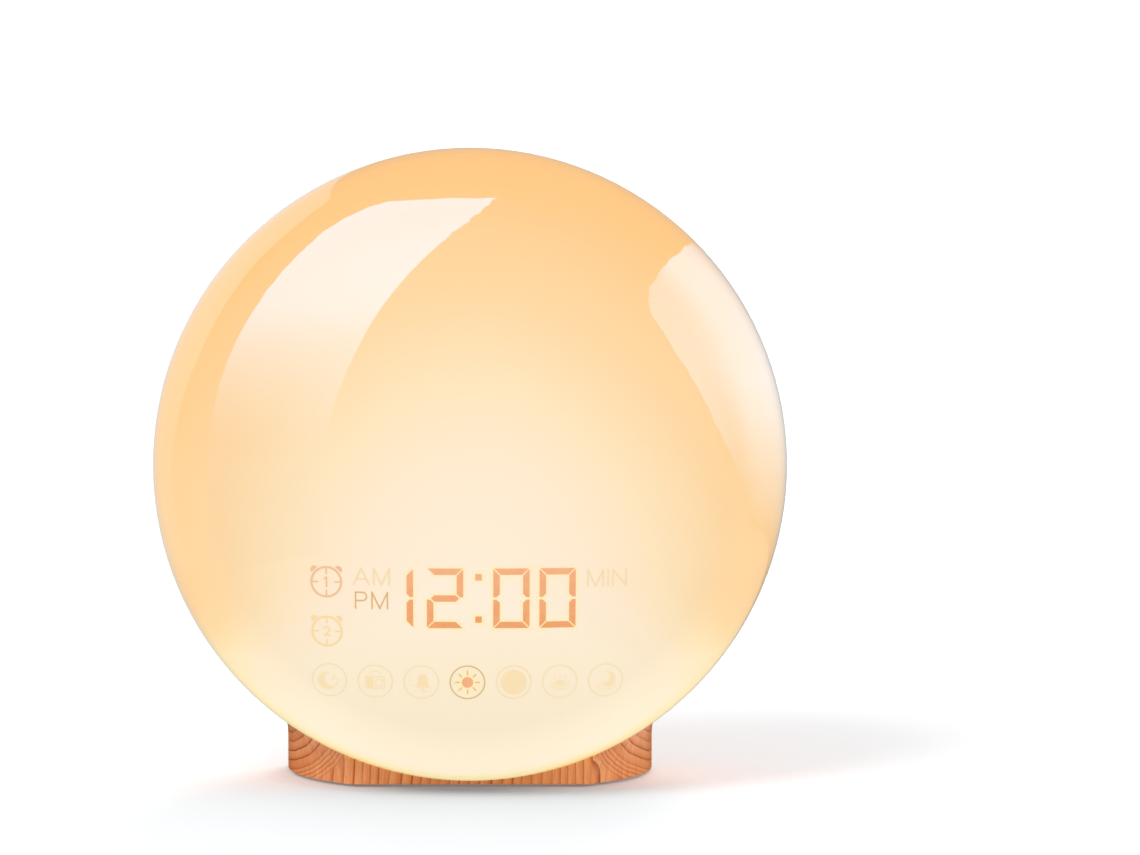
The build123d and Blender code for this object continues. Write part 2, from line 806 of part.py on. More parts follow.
with BuildPart() as speaker_magnet:
    gap_floor = basket_front - magnet_depth + magnet_floor
    add(
        turned(
            (
                (basket_front - magnet_depth, 0),
                (basket_front - magnet_depth, magnet_radius),
                (basket_front, magnet_radius),
                (basket_front, coil_radius + coil_play),
                (gap_floor, coil_radius + coil_play),
                (gap_floor, pole_radius),
                (basket_front, pole_radius),
                (basket_front, 0),
            ),
            *at_speaker,
        )
    )
save(speaker_magnet, "speaker_magnet")

with BuildPart() as speaker_voice_coil:
    add(
        turned(
            (
                (gap_floor + coil_play, coil_radius - coil_wall),
                (gap_floor + coil_play, coil_radius),
                (cone_front, coil_radius),
                (cone_front, coil_radius - coil_wall),
            ),
            *at_speaker,
        )
    )
save(speaker_voice_coil, "speaker_voice_coil")

cone_throat = coil_radius - coil_wall / 2
with BuildPart() as speaker_cone:
    add(
        turned(
            (
                (cone_front, cone_throat),
                (cone_front, cone_throat + coil_wall),
                (flange_front, cone_rim),
                (surround_back, cone_rim),
                (surround_back, cone_rim - coil_wall),
                (cone_front + coil_wall, cone_throat),
            ),
            *at_speaker,
        )
    )
save(speaker_cone, "speaker_cone")

with BuildPart() as speaker_surround:
    add(
        turned(
            (
                (flange_front, cone_rim),
                (flange_front, speaker_mouth),
                (surround_back, speaker_mouth),
                (surround_back, cone_rim),
            ),
            *at_speaker,
        )
    )
save(speaker_surround, "speaker_surround")

with BuildPart() as speaker_dust_cap:
    cap_back = cone_front + coil_wall
    with BuildSketch(turning_plane(*at_speaker)):
        with BuildLine():
            bulge = (cone_throat**2 + cap_rise**2) / (2 * cap_rise)
            spread = degrees(asin(cone_throat / bulge))
            crown = CenterArc((cap_back + cap_rise - bulge, 0), bulge, 0, spread)
            Polyline(crown @ 1, (cap_back, 0), crown @ 0)
        make_face()
    revolve(axis=turning_axis(*at_speaker))
save(speaker_dust_cap, "speaker_dust_cap")

# ================================================================ ribbon and speaker leads
lead_run = main_board_depth - lead_drop
connector_foot = connector_places[0][1] - connector_depth / 2


def lead_path(start, height):
    """Run from a depth forwards or backwards at a height, and up to the connectors."""
    return FilletPolyline((start, height), (lead_run, height), (lead_run, connector_foot), radius=lead_bend)


with BuildPart() as display_ribbon:
    with BuildSketch(turning_plane(ribbon_x, 0)):
        with BuildLine():
            lead_path(display_board_back, ribbon_slot_middle)
        trace(line_width=ribbon_thickness)
    extrude(amount=ribbon_width / 2, both=True)
save(display_ribbon, "display_ribbon")

lead_reach = (speaker_mouth + basket_wall + speaker_radius) / 2  # on the basket's flange
with BuildPart() as speaker_leads:
    for reach in (lead_reach - lead_spread / 2, lead_reach + lead_spread / 2):
        with BuildLine(turning_plane(speaker_x - reach, 0)):
            lead_path(flange_front, speaker_z)
        with BuildSketch(upright(flange_front)):
            with Locations((speaker_x - reach, speaker_z)):
                Circle(lead_radius)
        sweep()
save(speaker_leads, "speaker_leads")

# ================================================================ foot: base plate, feet, coin cell
door_at = (door_x, door_depth)
lug_bottom = base_top + fit_gap
lug_top = lug_bottom + lug_height
hole_radius = door_radius + fit_gap


def lugs(radius, spread, turn, low, high):
    """Two opposite lugs about the door's axis, between two heights."""
    with BuildPart() as pair:
        with BuildSketch(level(low, *door_at)):
            for start in (turn, turn + 180):
                with BuildLine():
                    arc = CenterArc((0, 0), radius, start - spread / 2, spread)
                    Line(arc @ 1, (0, 0))
                    Line((0, 0), arc @ 0)
                make_face()
        extrude(amount=high - low)
    return pair.part


with BuildPart() as base_plate:
    add(case_form(wall + fit_gap, wall + fit_gap, inner_back - fit_gap, foot_bottom - foot_lift))
    with BuildSketch(level(base_bottom)):
        Rectangle(2 * foot_back_width, 4 * housing_depth)
    extrude(amount=base_thickness, mode=Mode.INTERSECT)
    with BuildSketch(level(base_bottom)):
        with Locations(door_at):
            Circle(hole_radius)
        with Locations(*boss_places):
            Circle(screw_radius)
    extrude(amount=base_thickness, mode=Mode.SUBTRACT)
    with BuildSketch(level(base_bottom)):
        with Locations(*boss_places):
            Circle(head_pocket_radius)
    extrude(amount=head_pocket_depth, mode=Mode.SUBTRACT)
    with BuildSketch(level(base_bottom)):
        with Locations(*rubber_foot_places):
            Circle(rubber_foot_radius)
    extrude(amount=rubber_foot_pocket, mode=Mode.SUBTRACT)
    notch_radius = door_radius + lug_reach + fit_gap
    add(lugs(notch_radius, lug_entry_angle, lug_turn, base_bottom, base_top), mode=Mode.SUBTRACT)
save(base_plate, "base_plate")

with BuildPart() as rubber_feet:
    with BuildSketch(level(0)):
        with Locations(*rubber_foot_places):
            Circle(rubber_foot_radius)
    extrude(amount=base_bottom + rubber_foot_pocket)
save(rubber_feet, "rubber_feet")

with BuildPart() as battery_door:
    with BuildSketch(level(base_bottom)):
        with Locations(door_at):
            Circle(door_radius)
    extrude(amount=lug_top - base_bottom)
    add(lugs(door_radius + lug_reach, lug_angle, 0, lug_bottom, lug_top))
    with BuildSketch(level(base_bottom)):
        with Locations(door_at):
            SlotOverall(coin_slot_length, coin_slot_width)
    extrude(amount=coin_slot_width / 2, mode=Mode.SUBTRACT)
save(battery_door, "battery_door")

clip_bottom = lug_top + slide_gap
cell_bottom = clip_bottom + cell_clip_thickness
cell_top = cell_bottom + cell_thickness
ring_outer = cell_radius + fit_gap + cell_clip_width / 2
holder_mouth = door_radius + lug_reach + 2 * slide_gap

with BuildPart() as coin_cell:
    with BuildSketch(level(cell_bottom)):
        with Locations(door_at):
            Circle(cell_radius)
    extrude(amount=cell_thickness)
save(coin_cell, "coin_cell")

with BuildPart() as cell_clip:
    with BuildSketch(level(clip_bottom)):
        with Locations(door_at):
            Rectangle(2 * ring_outer - holder_wall, cell_clip_width)
    extrude(amount=cell_clip_thickness)
save(cell_clip, "cell_clip")

with BuildPart() as cell_holder:
    add(
        turned_upright(
            (
                (0, cell_top),
                (cell_radius + fit_gap, cell_top),
                (cell_radius + fit_gap, cell_bottom),
                (ring_outer, cell_bottom),
                (ring_outer, cell_top),
                (holder_mouth, cell_top),
                (holder_mouth, base_top),
                (holder_mouth + holder_wall, base_top),
                (holder_mouth + holder_wall, cell_top + holder_wall),
                (0, cell_top + holder_wall),
            ),
            *door_at,
        )
    )
save(cell_holder, "cell_holder")

# ================================================================ power inlet
with BuildPart() as dc_jack:
    with BuildSketch(upright(inner_back)):
        with Locations((jack_x, jack_z)):
            Rectangle(jack_width, jack_rise)
    extrude(amount=jack_length)
    with BuildSketch(upright(inner_back)):
        with Locations((jack_x, jack_z)):
            Circle(jack_nose_radius)
    extrude(amount=-(wall - base_recess))
    with BuildSketch(upright(housing_depth - base_recess)):
        with Locations((jack_x, jack_z)):
            Circle(jack_bore_radius)
            Circle(jack_pin_radius, mode=Mode.SUBTRACT)
    extrude(amount=jack_bore_depth, mode=Mode.SUBTRACT)
    with BuildSketch(upright(housing_depth - base_recess)):
        with Locations((jack_x, jack_z)):
            Circle(jack_pin_radius)
    extrude(amount=jack_pin_recess, mode=Mode.SUBTRACT)
save(dc_jack, "dc_jack")

# ================================================================ screws
large = (screw_radius, screw_head_radius, screw_head_height, screw_bite)
small = (small_screw_radius, small_head_radius, small_head_height)
head_plane = Plane(origin=(0, seam, base_bottom + head_pocket_depth), x_dir=(1, 0, 0), z_dir=(0, 0, -1))
under_places = [(x, -depth) for x, depth in boss_places]
save(screws(frame_post_places, upright(skirt_length), frame_thickness, *large), "frame_screws")
save(screws(main_post_places, upright(main_board_depth), board_thickness, *large), "main_board_screws")
save(screws(under_places, head_plane, base_thickness - head_pocket_depth, *large), "base_screws")
board_held = (board_thickness, *small, led_standoff)
speaker_held = speaker_flange + gasket_thickness
save(screws(led_screw_places, upright(led_board_front), *board_held), "led_board_screws")
save(screws(display_post_places, upright(display_board_depth), *board_held), "display_screws")
save(screws(speaker_screw_places, upright(flange_front), speaker_held, *small, wall / 2), "speaker_screws")
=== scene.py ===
"""Looks of the sunrise alarm clock: glowing dome, lit display, wood-print housing, and what is inside."""

import json
from math import cos, pi, radians, sin, sqrt

import bpy
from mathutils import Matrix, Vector


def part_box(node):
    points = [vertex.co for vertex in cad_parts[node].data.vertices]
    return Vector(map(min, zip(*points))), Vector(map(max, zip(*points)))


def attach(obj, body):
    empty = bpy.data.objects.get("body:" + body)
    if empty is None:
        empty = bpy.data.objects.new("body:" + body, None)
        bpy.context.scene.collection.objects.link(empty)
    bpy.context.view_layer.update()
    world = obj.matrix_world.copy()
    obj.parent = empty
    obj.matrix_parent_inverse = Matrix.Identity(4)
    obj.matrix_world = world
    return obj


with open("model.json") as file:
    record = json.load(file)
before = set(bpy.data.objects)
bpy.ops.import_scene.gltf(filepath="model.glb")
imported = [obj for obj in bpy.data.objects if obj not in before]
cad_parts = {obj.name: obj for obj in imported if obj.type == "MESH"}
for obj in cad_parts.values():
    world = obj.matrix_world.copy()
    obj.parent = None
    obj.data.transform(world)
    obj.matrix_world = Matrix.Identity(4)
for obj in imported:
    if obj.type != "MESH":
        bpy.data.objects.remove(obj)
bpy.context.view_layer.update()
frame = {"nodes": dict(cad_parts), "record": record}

MM = 0.001

# ---------------------------------------------------------------- places, from the frame
dome_low, dome_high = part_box("diffuser_dome")
housing_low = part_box("rear_housing")[0]
DOME_RADIUS = (dome_high.x - dome_low.x) / 2
SEAM = housing_low.y
AXIS = Vector(((dome_low.x + dome_high.x) / 2, SEAM, (dome_low.z + dome_high.z) / 2))
DOME_LIP = 2.0 * MM
DOME_BULGE = SEAM - DOME_LIP - dome_low.y  # depth of the curved part of the dome

# ---------------------------------------------------------------- the photograph's frame, in its pixels
FRAME_WIDTH = 1140
FRAME_HEIGHT = 855
DOME_PIXEL = (470, 465)
DOME_PIXEL_RADIUS = 316.8
SENSOR = 36.0
CAMERA_DISTANCE = 1.0
CAMERA_RISE = 63 * MM  # above the dome's axis


# ================================================================ node graphs
def srgb(red, green, blue):
    """Linear colour of an 8-bit screen colour."""
    linear = []
    for value in (red, green, blue):
        share = value / 255
        linear.append(share / 12.92 if share <= 0.04045 else ((share + 0.055) / 1.055) ** 2.4)
    return (*linear, 1.0)


class Graph:
    """Node graph of a material, with one short method for each kind of node."""

    def __init__(self, name):
        self.material = bpy.data.materials.new(name)
        self.material.use_nodes = True
        self.tree = self.material.node_tree
        self.tree.nodes.clear()
        self.shader = self.add("BsdfPrincipled")
        self.output = self.add("OutputMaterial")
        self.link(self.shader.outputs["BSDF"], self.output.inputs["Surface"])
        self.place = self.add("TexCoord").outputs["Object"]

    def add(self, kind, **settings):
        node = self.tree.nodes.new("ShaderNode" + kind)
        for key, value in settings.items():
            setattr(node, key, value)
        return node

    def link(self, source, target):
        self.tree.links.new(source, target)

    def feed(self, target, value):
        """Links a socket, or sets a plain value."""
        if isinstance(value, bpy.types.NodeSocket):
            self.link(value, target)
        else:
            target.default_value = value

    def math(self, operation, first, second=0.0):
        node = self.add("Math", operation=operation)
        for target, value in zip(node.inputs, (first, second)):
            self.feed(target, value)
        return node.outputs[0]

    def vector(self, operation, first, second=(0, 0, 0)):
        node = self.add("VectorMath", operation=operation)
        self.feed(node.inputs[0], first)
        if operation == "SCALE":
            self.feed(node.inputs["Scale"], second)
        elif operation != "LENGTH":
            self.feed(node.inputs[1], second)
        return node.outputs["Value" if operation in ("LENGTH", "DOT_PRODUCT") else "Vector"]

    def joined(self, x, y, z):
        node = self.add("CombineXYZ")
        for target, value in zip(node.inputs, (x, y, z)):
            self.feed(target, value)
        return node.outputs[0]

    def moved(self, vector, scale=(1, 1, 1), turn=(0, 0, 0)):
        node = self.add("Mapping")
        self.feed(node.inputs["Vector"], vector)
        node.inputs["Scale"].default_value = scale
        node.inputs["Rotation"].default_value = [radians(angle) for angle in turn]
        return node.outputs["Vector"]

    def noise(self, vector, scale, detail=2.0, roughness=0.5, colour=False):
        node = self.add("TexNoise")
        self.feed(node.inputs["Vector"], vector)
        node.inputs["Scale"].default_value = scale
        node.inputs["Detail"].default_value = detail
        node.inputs["Roughness"].default_value = roughness
        return node.outputs["Color" if colour else "Fac"]

    def cells(self, vector, scale, feature="F1"):
        node = self.add("TexVoronoi", feature=feature)
        self.feed(node.inputs["Vector"], vector)
        node.inputs["Scale"].default_value = scale
        return node.outputs["Distance"]

    def split(self, vector):
        node = self.add("SeparateXYZ")
        self.link(vector, node.inputs[0])
        return node.outputs

    def ramp(self, value, stops):
        """Colour ramp; stops is (place, colour) pairs."""
        node = self.add("ValToRGB")
        elements = node.color_ramp.elements
        while len(elements) < len(stops):
            elements.new(1.0)
        for element, (place, colour) in zip(elements, stops):
            element.position = place
            element.color = colour
        self.feed(node.inputs[0], value)
        return node.outputs["Color"]

    def span(self, value, low, high, start=0.0, end=1.0):
        """Maps low..high to start..end, and holds it there."""
        node = self.add("MapRange")
        sockets = ("Value", "From Min", "From Max", "To Min", "To Max")
        for socket, given in zip(sockets, (value, low, high, start, end)):
            self.feed(node.inputs[socket], given)
        return node.outputs["Result"]

    def mix(self, share, first, second, blend="MIX"):
        node = self.add("Mix", data_type="RGBA", blend_type=blend)
        self.feed(node.inputs[0], share)
        self.feed(node.inputs[6], first)
        self.feed(node.inputs[7], second)
        return node.outputs[2]

    def bump(self, height, strength, distance):
        node = self.add("Bump")
        node.inputs["Strength"].default_value = strength
        node.inputs["Distance"].default_value = distance
        self.feed(node.inputs["Height"], height)
        self.link(node.outputs["Normal"], self.shader.inputs["Normal"])

    def set(self, **values):
        """Sets or links inputs of the shader; underscores stand for spaces."""
        for key, value in values.items():
            self.feed(self.shader.inputs[key.replace("_", " ")], value)


def moulded(name, colour, shade, grain=900.0, roughness=(0.35, 0.5), relief=0.06, **settings):
    """Moulded or coated surface: slow colour drift, fine texture in its roughness and relief."""
    g = Graph(name)
    drift = g.noise(g.place, 38.0, detail=3.0)
    fine = g.noise(g.place, grain)
    g.set(Base_Color=g.mix(g.span(drift, 0.3, 0.7), colour, shade))
    g.set(Roughness=g.span(fine, 0.3, 0.7, *roughness))
    g.bump(fine, relief, 0.1 * MM)
    g.set(**settings)
    return g


# ================================================================ materials of the outside
GLOW_CENTRE = AXIS - Vector((0, 0, 34 * MM))  # palest place of the dome
GLOW_REACH = 120 * MM
GLOW_STRENGTH = 0.86
STUDIO_LEVEL = 1.12  # light of the studio on the dome
DOME_BODY = (0.16, 0.10, 0.055, 1)


def lit(red, green, blue):
    """Emission of the dome that shows as a screen colour once the studio's light is added."""
    seen = srgb(red, green, blue)
    return (*((seen[k] - STUDIO_LEVEL * DOME_BODY[k]) / GLOW_STRENGTH for k in range(3)), 1.0)


# The stops follow colours printed along lines of the photograph, from the palest place out, then adjusted.
GLOW_TONES = (
    (0.00, lit(254, 239, 217)),
    (0.30, lit(254, 234, 207)),
    (0.47, lit(253, 229, 189)),
    (0.65, lit(253, 216, 163)),
    (0.81, lit(253, 208, 148)),
    (0.92, lit(252, 199, 130)),
    (1.00, lit(252, 193, 120)),
)
GLOW_WIDTH = 1.17  # sideways distance counts as more above the palest place
PALE_WIDTH = 2.2  # and below it even more, but only beyond a wide pale band
PALE_BAND = 38 * MM
PALE_START = 10 * MM  # heights from the palest place
PALE_FULL = -16 * MM
PALE_DEPTH = 0.3  # share by which the distance downwards counts
DEPTH_BLEND = 4 * MM
PALE_TINT = (1.0, 0.99, 0.92, 1)
TINT_FULL = -14 * MM
CLOUD_SCALE = 22.0
CLOUD_REACH = 8 * MM
RIM_TONE = lit(262, 236, 166)
RIM_START = 0.95  # shares of the dome's radius
RIM_FULL = 0.985
RIM_LIFT = 0.10  # the rim of the dome is seen edge on, through more of the glow
LIFT_START = 0.8
LOWER_LIFT = 0.14
LOWER_RIM = (-0.45, -0.8)  # heights as shares of the dome's radius
LOWER_GAIN = (-0.3, -0.75)


def diffuser():
    """Satin translucent dome lit from inside: cream below the middle, orange towards the top and sides."""
    g = Graph("diffuser")
    from_centre = g.vector("SUBTRACT", g.place, tuple(GLOW_CENTRE))
    across, _, above = g.split(from_centre)
    below = g.span(above, PALE_START, PALE_FULL)
    band = g.math("MULTIPLY", below, PALE_BAND)
    beyond = g.math("MAXIMUM", g.math("SUBTRACT", g.math("ABSOLUTE", across), band), 0.0)
    sideways = g.math("MULTIPLY", beyond, g.span(below, 0, 1, GLOW_WIDTH, PALE_WIDTH))
    upwards = g.math("MULTIPLY", above, g.span(above, -DEPTH_BLEND, DEPTH_BLEND, PALE_DEPTH, 1.0))
    reach = g.vector("LENGTH", g.joined(sideways, 0.0, upwards))
    cloud = g.noise(g.place, CLOUD_SCALE)
    reach = g.math("ADD", reach, g.math("MULTIPLY", g.math("SUBTRACT", cloud, 0.5), CLOUD_REACH))
    tone = g.ramp(g.math("DIVIDE", reach, GLOW_REACH), GLOW_TONES)
    tone = g.mix(g.span(above, 0.0, TINT_FULL), tone, PALE_TINT, blend="MULTIPLY")

    from_axis = g.vector("SUBTRACT", g.place, tuple(AXIS))
    radius = g.vector("LENGTH", g.vector("MULTIPLY", from_axis, (1, 0, 1)))
    height = g.split(from_axis)[2]
    rim = g.span(radius, RIM_START * DOME_RADIUS, RIM_FULL * DOME_RADIUS)
    low = g.span(height, *(share * DOME_RADIUS for share in LOWER_RIM))
    tone = g.mix(g.math("MULTIPLY", rim, low), tone, RIM_TONE)
    gain = g.span(height, *(share * DOME_RADIUS for share in LOWER_GAIN), RIM_LIFT, RIM_LIFT + LOWER_LIFT)
    lift = g.math("MULTIPLY", g.span(radius, LIFT_START * DOME_RADIUS, DOME_RADIUS), gain)
    strength = g.math("MULTIPLY", g.math("ADD", lift, 1.0), GLOW_STRENGTH)

    fine = g.noise(g.place, 1400.0)
    g.set(Base_Color=DOME_BODY, Emission_Color=tone, Emission_Strength=strength)
    g.set(Roughness=g.span(fine, 0.3, 0.7, 0.38, 0.46), Coat_Weight=1.0, Coat_Roughness=0.03)
    g.set(Specular_IOR_Level=0.0)
    return g.material


WOOD_TONES = (
    (0.00, srgb(242, 170, 112)),
    (0.50, srgb(238, 155, 97)),
    (0.74, srgb(228, 139, 80)),
    (0.89, srgb(178, 86, 36)),
    (0.95, srgb(146, 58, 22)),
    (1.00, srgb(240, 166, 108)),
)
WOOD_LIGHT = srgb(240, 161, 104)
WOOD_DARK = srgb(219, 125, 68)
FIBRE_TONE = srgb(178, 92, 46)
FLECK_TONE = srgb(250, 196, 146)
DEEP_TONE = srgb(150, 84, 66)
SWAY_SCALE = 12.0
SHIVER_SCALE = 90.0
SHIVER = 1.6 * MM
CROWD_SCALE = 26.0
CROWD_YEARS = 6.5
CENTRED = (0.5, 0.5, 0.5)  # middle of a noise's colour
FOOT_PITH = (49 * MM, 18 * MM)  # beside and above the foot's middle, on both sides
FOOT_RING_GAP = 2.6 * MM
FOOT_RINGS_REACH = 18 * MM
FOOT_RINGS_EDGE = 1.2 * MM
FOOT_RINGS_DEPTH = 38 * MM
FOOT_RINGS_FADE = 12 * MM
FOOT_RINGS_SLOPE = 0.15  # they sink towards the back
FOOT_CROWD_WIDTH = 5 * MM
FOOT_CROWD_YEARS = 2.5
FOOT_HEIGHTS = (12 * MM, 4 * MM)  # above the pith, where the rings start and are full


def foot_arcs(g, place):
    """Rings round the foot's front corners, crowded where they meet the long grain, and their share."""
    across, depth, height = g.split(place)
    height = g.math("ADD", height, g.math("MULTIPLY", g.math("SUBTRACT", depth, SEAM), FOOT_RINGS_SLOPE))
    beside = g.math("SUBTRACT", g.math("ABSOLUTE", across), FOOT_PITH[0])
    radius = g.vector("LENGTH", g.joined(beside, 0.0, g.math("SUBTRACT", height, FOOT_PITH[1])))
    crowd = g.span(radius, FOOT_RINGS_REACH - FOOT_CROWD_WIDTH, FOOT_RINGS_REACH, 0.0, FOOT_CROWD_YEARS)
    years = g.math("ADD", g.math("DIVIDE", radius, FOOT_RING_GAP), crowd)
    inside = g.span(radius, FOOT_RINGS_REACH, FOOT_RINGS_REACH - FOOT_RINGS_EDGE)
    low = g.span(height, *(FOOT_PITH[1] + above for above in FOOT_HEIGHTS))
    front = g.span(depth, SEAM + FOOT_RINGS_DEPTH, SEAM + FOOT_RINGS_DEPTH - FOOT_RINGS_FADE)
    return years, g.math("MULTIPLY", inside, g.math("MULTIPLY", low, front))


def rings(g, years, plain):
    """Colour of the wood over its years, each ring more or less strong, and the share of its year."""
    each = g.add("TexWhiteNoise", noise_dimensions="1D")
    g.feed(each.inputs["W"], g.math("FLOOR", years))
    strength = g.span(each.outputs["Value"], 0.0, 1.0, 0.42, 1.0)
    year = g.math("FRACT", years)
    return g.mix(strength, plain, g.ramp(year, WOOD_TONES)), year


def offset(g, scale, squeeze, reach):
    """Wandering offset of up to about half the reach, drawn out along the trunk by squeeze."""
    colour = g.noise(g.moved(g.place, scale=(1, 1, squeeze)), scale, colour=True)
    return g.vector("SCALE", g.vector("SUBTRACT", colour, CENTRED), reach)


def wood(name, pith, lean, ring_gap=2.5 * MM, wander=12 * MM, deepen=0.0, foot=False):
    """Glossy wood print: rings about a leaning pith, with wavy lines, fine fibres and a satin lacquer."""
    g = Graph(name)
    sway = offset(g, SWAY_SCALE, 0.35, wander)
    shaken = g.vector("ADD", g.place, offset(g, SHIVER_SCALE, 0.25, SHIVER))
    turned = g.moved(g.vector("SUBTRACT", g.vector("ADD", shaken, sway), pith), turn=lean)
    radius = g.vector("LENGTH", g.vector("MULTIPLY", turned, (1, 1, 0)))
    crowd = g.math("MULTIPLY", g.noise(g.moved(g.place, scale=(1, 1, 0.2)), CROWD_SCALE), CROWD_YEARS)

    fibre = g.noise(g.moved(turned, scale=(1, 1, 0.03)), 1500.0, detail=3.0, roughness=0.7)
    flecks = g.noise(g.moved(turned, scale=(1, 1, 0.06)), 500.0)
    drift = g.noise(g.moved(g.place, scale=(1, 1, 0.3)), 20.0)
    plain = g.ramp(drift, ((0.3, WOOD_LIGHT), (0.7, WOOD_DARK)))
    tone, year = rings(g, g.math("ADD", g.math("DIVIDE", radius, ring_gap), crowd), plain)
    if foot:
        arcs, share = foot_arcs(g, shaken)
        arc_tone, arc_year = rings(g, arcs, plain)
        tone = g.mix(share, tone, arc_tone)
        year = g.math("ADD", year, g.math("MULTIPLY", share, g.math("SUBTRACT", arc_year, year)))
    tone = g.mix(g.span(fibre, 0.42, 0.72, 0.0, 0.42), tone, FIBRE_TONE)
    tone = g.mix(g.span(flecks, 0.30, 0.45, 0.16, 0.0), tone, FLECK_TONE)
    tone = g.mix(deepen, tone, DEEP_TONE, blend="MULTIPLY")

    g.set(Base_Color=tone, Roughness=g.span(fibre, 0.3, 0.7, 0.30, 0.44))
    g.set(Coat_Weight=0.2, Coat_Roughness=0.2, Specular_IOR_Level=0.3)
    g.bump(g.math("SUBTRACT", fibre, year), 0.10, 0.12 * MM)
    return g.material


# ================================================================ materials of the inside
def plastic(name, colour, shade):
    return moulded(name, colour, shade, roughness=(0.38, 0.52)).material


def lit_guide():
    """Amber light guide, brighter towards its front."""
    g = moulded("light_guide", srgb(244, 170, 120), srgb(236, 150, 96), roughness=(0.12, 0.2), relief=0.02)
    forward = g.span(g.split(g.place)[1], SEAM - 15 * MM, SEAM - 40 * MM, 0.15, 0.9)
    g.set(Emission_Color=srgb(244, 150, 90), Emission_Strength=forward)
    return g.material


def board(name, mask, track, silk):
    """Circuit board: solder mask over copper tracks, with pads and pale print."""
    g = Graph(name)
    tracks = g.add("TexBrick", offset=0.37, squash=0.6)
    g.feed(tracks.inputs["Vector"], g.moved(g.place, turn=(90, 0, 0)))
    for key, value in {"Scale": 260.0, "Mortar Size": 0.09, "Brick Width": 0.9, "Row Height": 0.28}.items():
        tracks.inputs[key].default_value = value
    pads = g.span(g.cells(g.place, 190.0), 0.16, 0.13)
    print_dots = g.span(g.cells(g.place, 90.0, feature="DISTANCE_TO_EDGE"), 0.03, 0.015)
    tone = g.mix(g.math("MULTIPLY", tracks.outputs["Fac"], 0.55), mask, track)
    tone = g.mix(g.math("MULTIPLY", print_dots, 0.35), tone, silk)
    tone = g.mix(pads, tone, srgb(214, 205, 180))
    g.set(Base_Color=tone, Metallic=g.math("MULTIPLY", pads, 0.8))
    g.set(Roughness=g.span(g.noise(g.place, 700.0), 0.3, 0.7, 0.22, 0.36), Coat_Weight=0.3)
    g.bump(tracks.outputs["Fac"], 0.15, 0.05 * MM)
    return g.material


def phosphor():
    """Warm white LED: yellow phosphor in a pale case, dimly lit."""
    g = moulded("led", srgb(250, 226, 140), srgb(244, 206, 110), grain=1800.0, roughness=(0.25, 0.4))
    glow = g.span(g.noise(g.place, 60.0), 0.3, 0.7, 0.4, 0.7)
    g.set(Emission_Color=srgb(255, 214, 140), Emission_Strength=glow)
    return g.material


def epoxy():
    """Black moulded package with a faint lighter bloom."""
    return moulded("chip", srgb(38, 38, 40), srgb(52, 52, 54), grain=2600.0, roughness=(0.45, 0.62)).material


def metal(name, colour, shade, stretch, roughness=(0.25, 0.42)):
    """Metal with brushed or turned streaks along one direction."""
    g = Graph(name)
    streak = g.noise(g.moved(g.place, scale=stretch), 1600.0, detail=3.0)
    blotch = g.noise(g.place, 70.0, detail=3.0)
    g.set(Base_Color=g.mix(g.span(blotch, 0.35, 0.65), colour, shade), Metallic=1.0)
    g.set(Roughness=g.span(streak, 0.3, 0.7, *roughness))
    g.bump(streak, 0.12, 0.05 * MM)
    return g.material


def capacitor_can():
    """Aluminium can in a dark sleeve."""
    g = moulded("capacitor", srgb(44, 48, 66), srgb(56, 60, 78), grain=900.0, roughness=(0.28, 0.4))
    end = g.span(g.split(g.place)[1], SEAM + 26.2 * MM, SEAM + 26.4 * MM)
    g.set(Metallic=end)
    return g.material


def pressed_paper():
    """Loudspeaker cone: dark pulp with fine fibres and shallow rings."""
    g = Graph("paper_cone")
    fibres = g.noise(g.place, 1300.0, detail=5.0, roughness=0.75)
    low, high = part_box("speaker_cone")
    centre = (low + high) / 2
    radius = g.vector("LENGTH", g.vector("MULTIPLY", g.vector("SUBTRACT", g.place, tuple(centre)), (1, 0, 1)))
    rings = g.math("SINE", g.math("MULTIPLY", radius, 2 * pi / (2.4 * MM)))
    g.set(Base_Color=g.ramp(fibres, ((0.35, srgb(38, 37, 36)), (0.7, srgb(84, 80, 76)))), Roughness=0.85)
    g.bump(g.math("ADD", fibres, rings), 0.3, 0.1 * MM)
    return g.material


def rubber():
    """Soft matt rubber."""
    tones = srgb(46, 46, 47), srgb(60, 59, 58)
    g = moulded("rubber", *tones, grain=1100.0, roughness=(0.65, 0.82), relief=0.2)
    g.set(Sheen_Weight=0.15)
    return g.material


def foam():
    """Closed-cell foam: small round cells, with painted shade in their pits."""
    g = Graph("foam")
    pore_pits_and_shade = g.cells(g.place, 1500.0)
    # painted shade: each pore's colour darkens towards its middle, where its pit is deepest
    g.set(Base_Color=g.ramp(pore_pits_and_shade, ((0.0, srgb(30, 30, 31)), (0.6, srgb(68, 68, 70)))), Roughness=0.9)
    g.bump(pore_pits_and_shade, 0.5, 0.2 * MM)
    return g.material


def windings():
    """Enamelled copper wire wound round the speaker's axis, with painted shade between the turns and painted
    highlight on them.
    """
    g = Graph("copper")
    turns = g.math("SINE", g.math("MULTIPLY", g.split(g.place)[1], 2 * pi / (0.25 * MM)))
    # painted shade and painted highlight: the copper darkens in the grooves between turns and lightens on
    # each turn's crest
    g.set(Base_Color=g.ramp(g.span(turns, -1, 1), ((0.0, srgb(120, 58, 30)), (1.0, srgb(214, 132, 84)))))
    g.set(Metallic=0.9, Roughness=0.3)
    g.bump(turns, 0.4, 0.1 * MM)
    return g.material


def insulation():
    """Flexible insulation, alternately red and black along the ribbon's width."""
    g = Graph("wire")
    across = g.math("SINE", g.math("MULTIPLY", g.split(g.place)[0], 2 * pi / (3.0 * MM)))
    fine = g.noise(g.place, 900.0)
    g.set(Base_Color=g.mix(g.span(across, -0.2, 0.2), srgb(188, 44, 36), srgb(46, 44, 44)))
    g.set(Roughness=g.span(fine, 0.3, 0.7, 0.35, 0.5))
    g.bump(across, 0.2, 0.1 * MM)
    return g.material


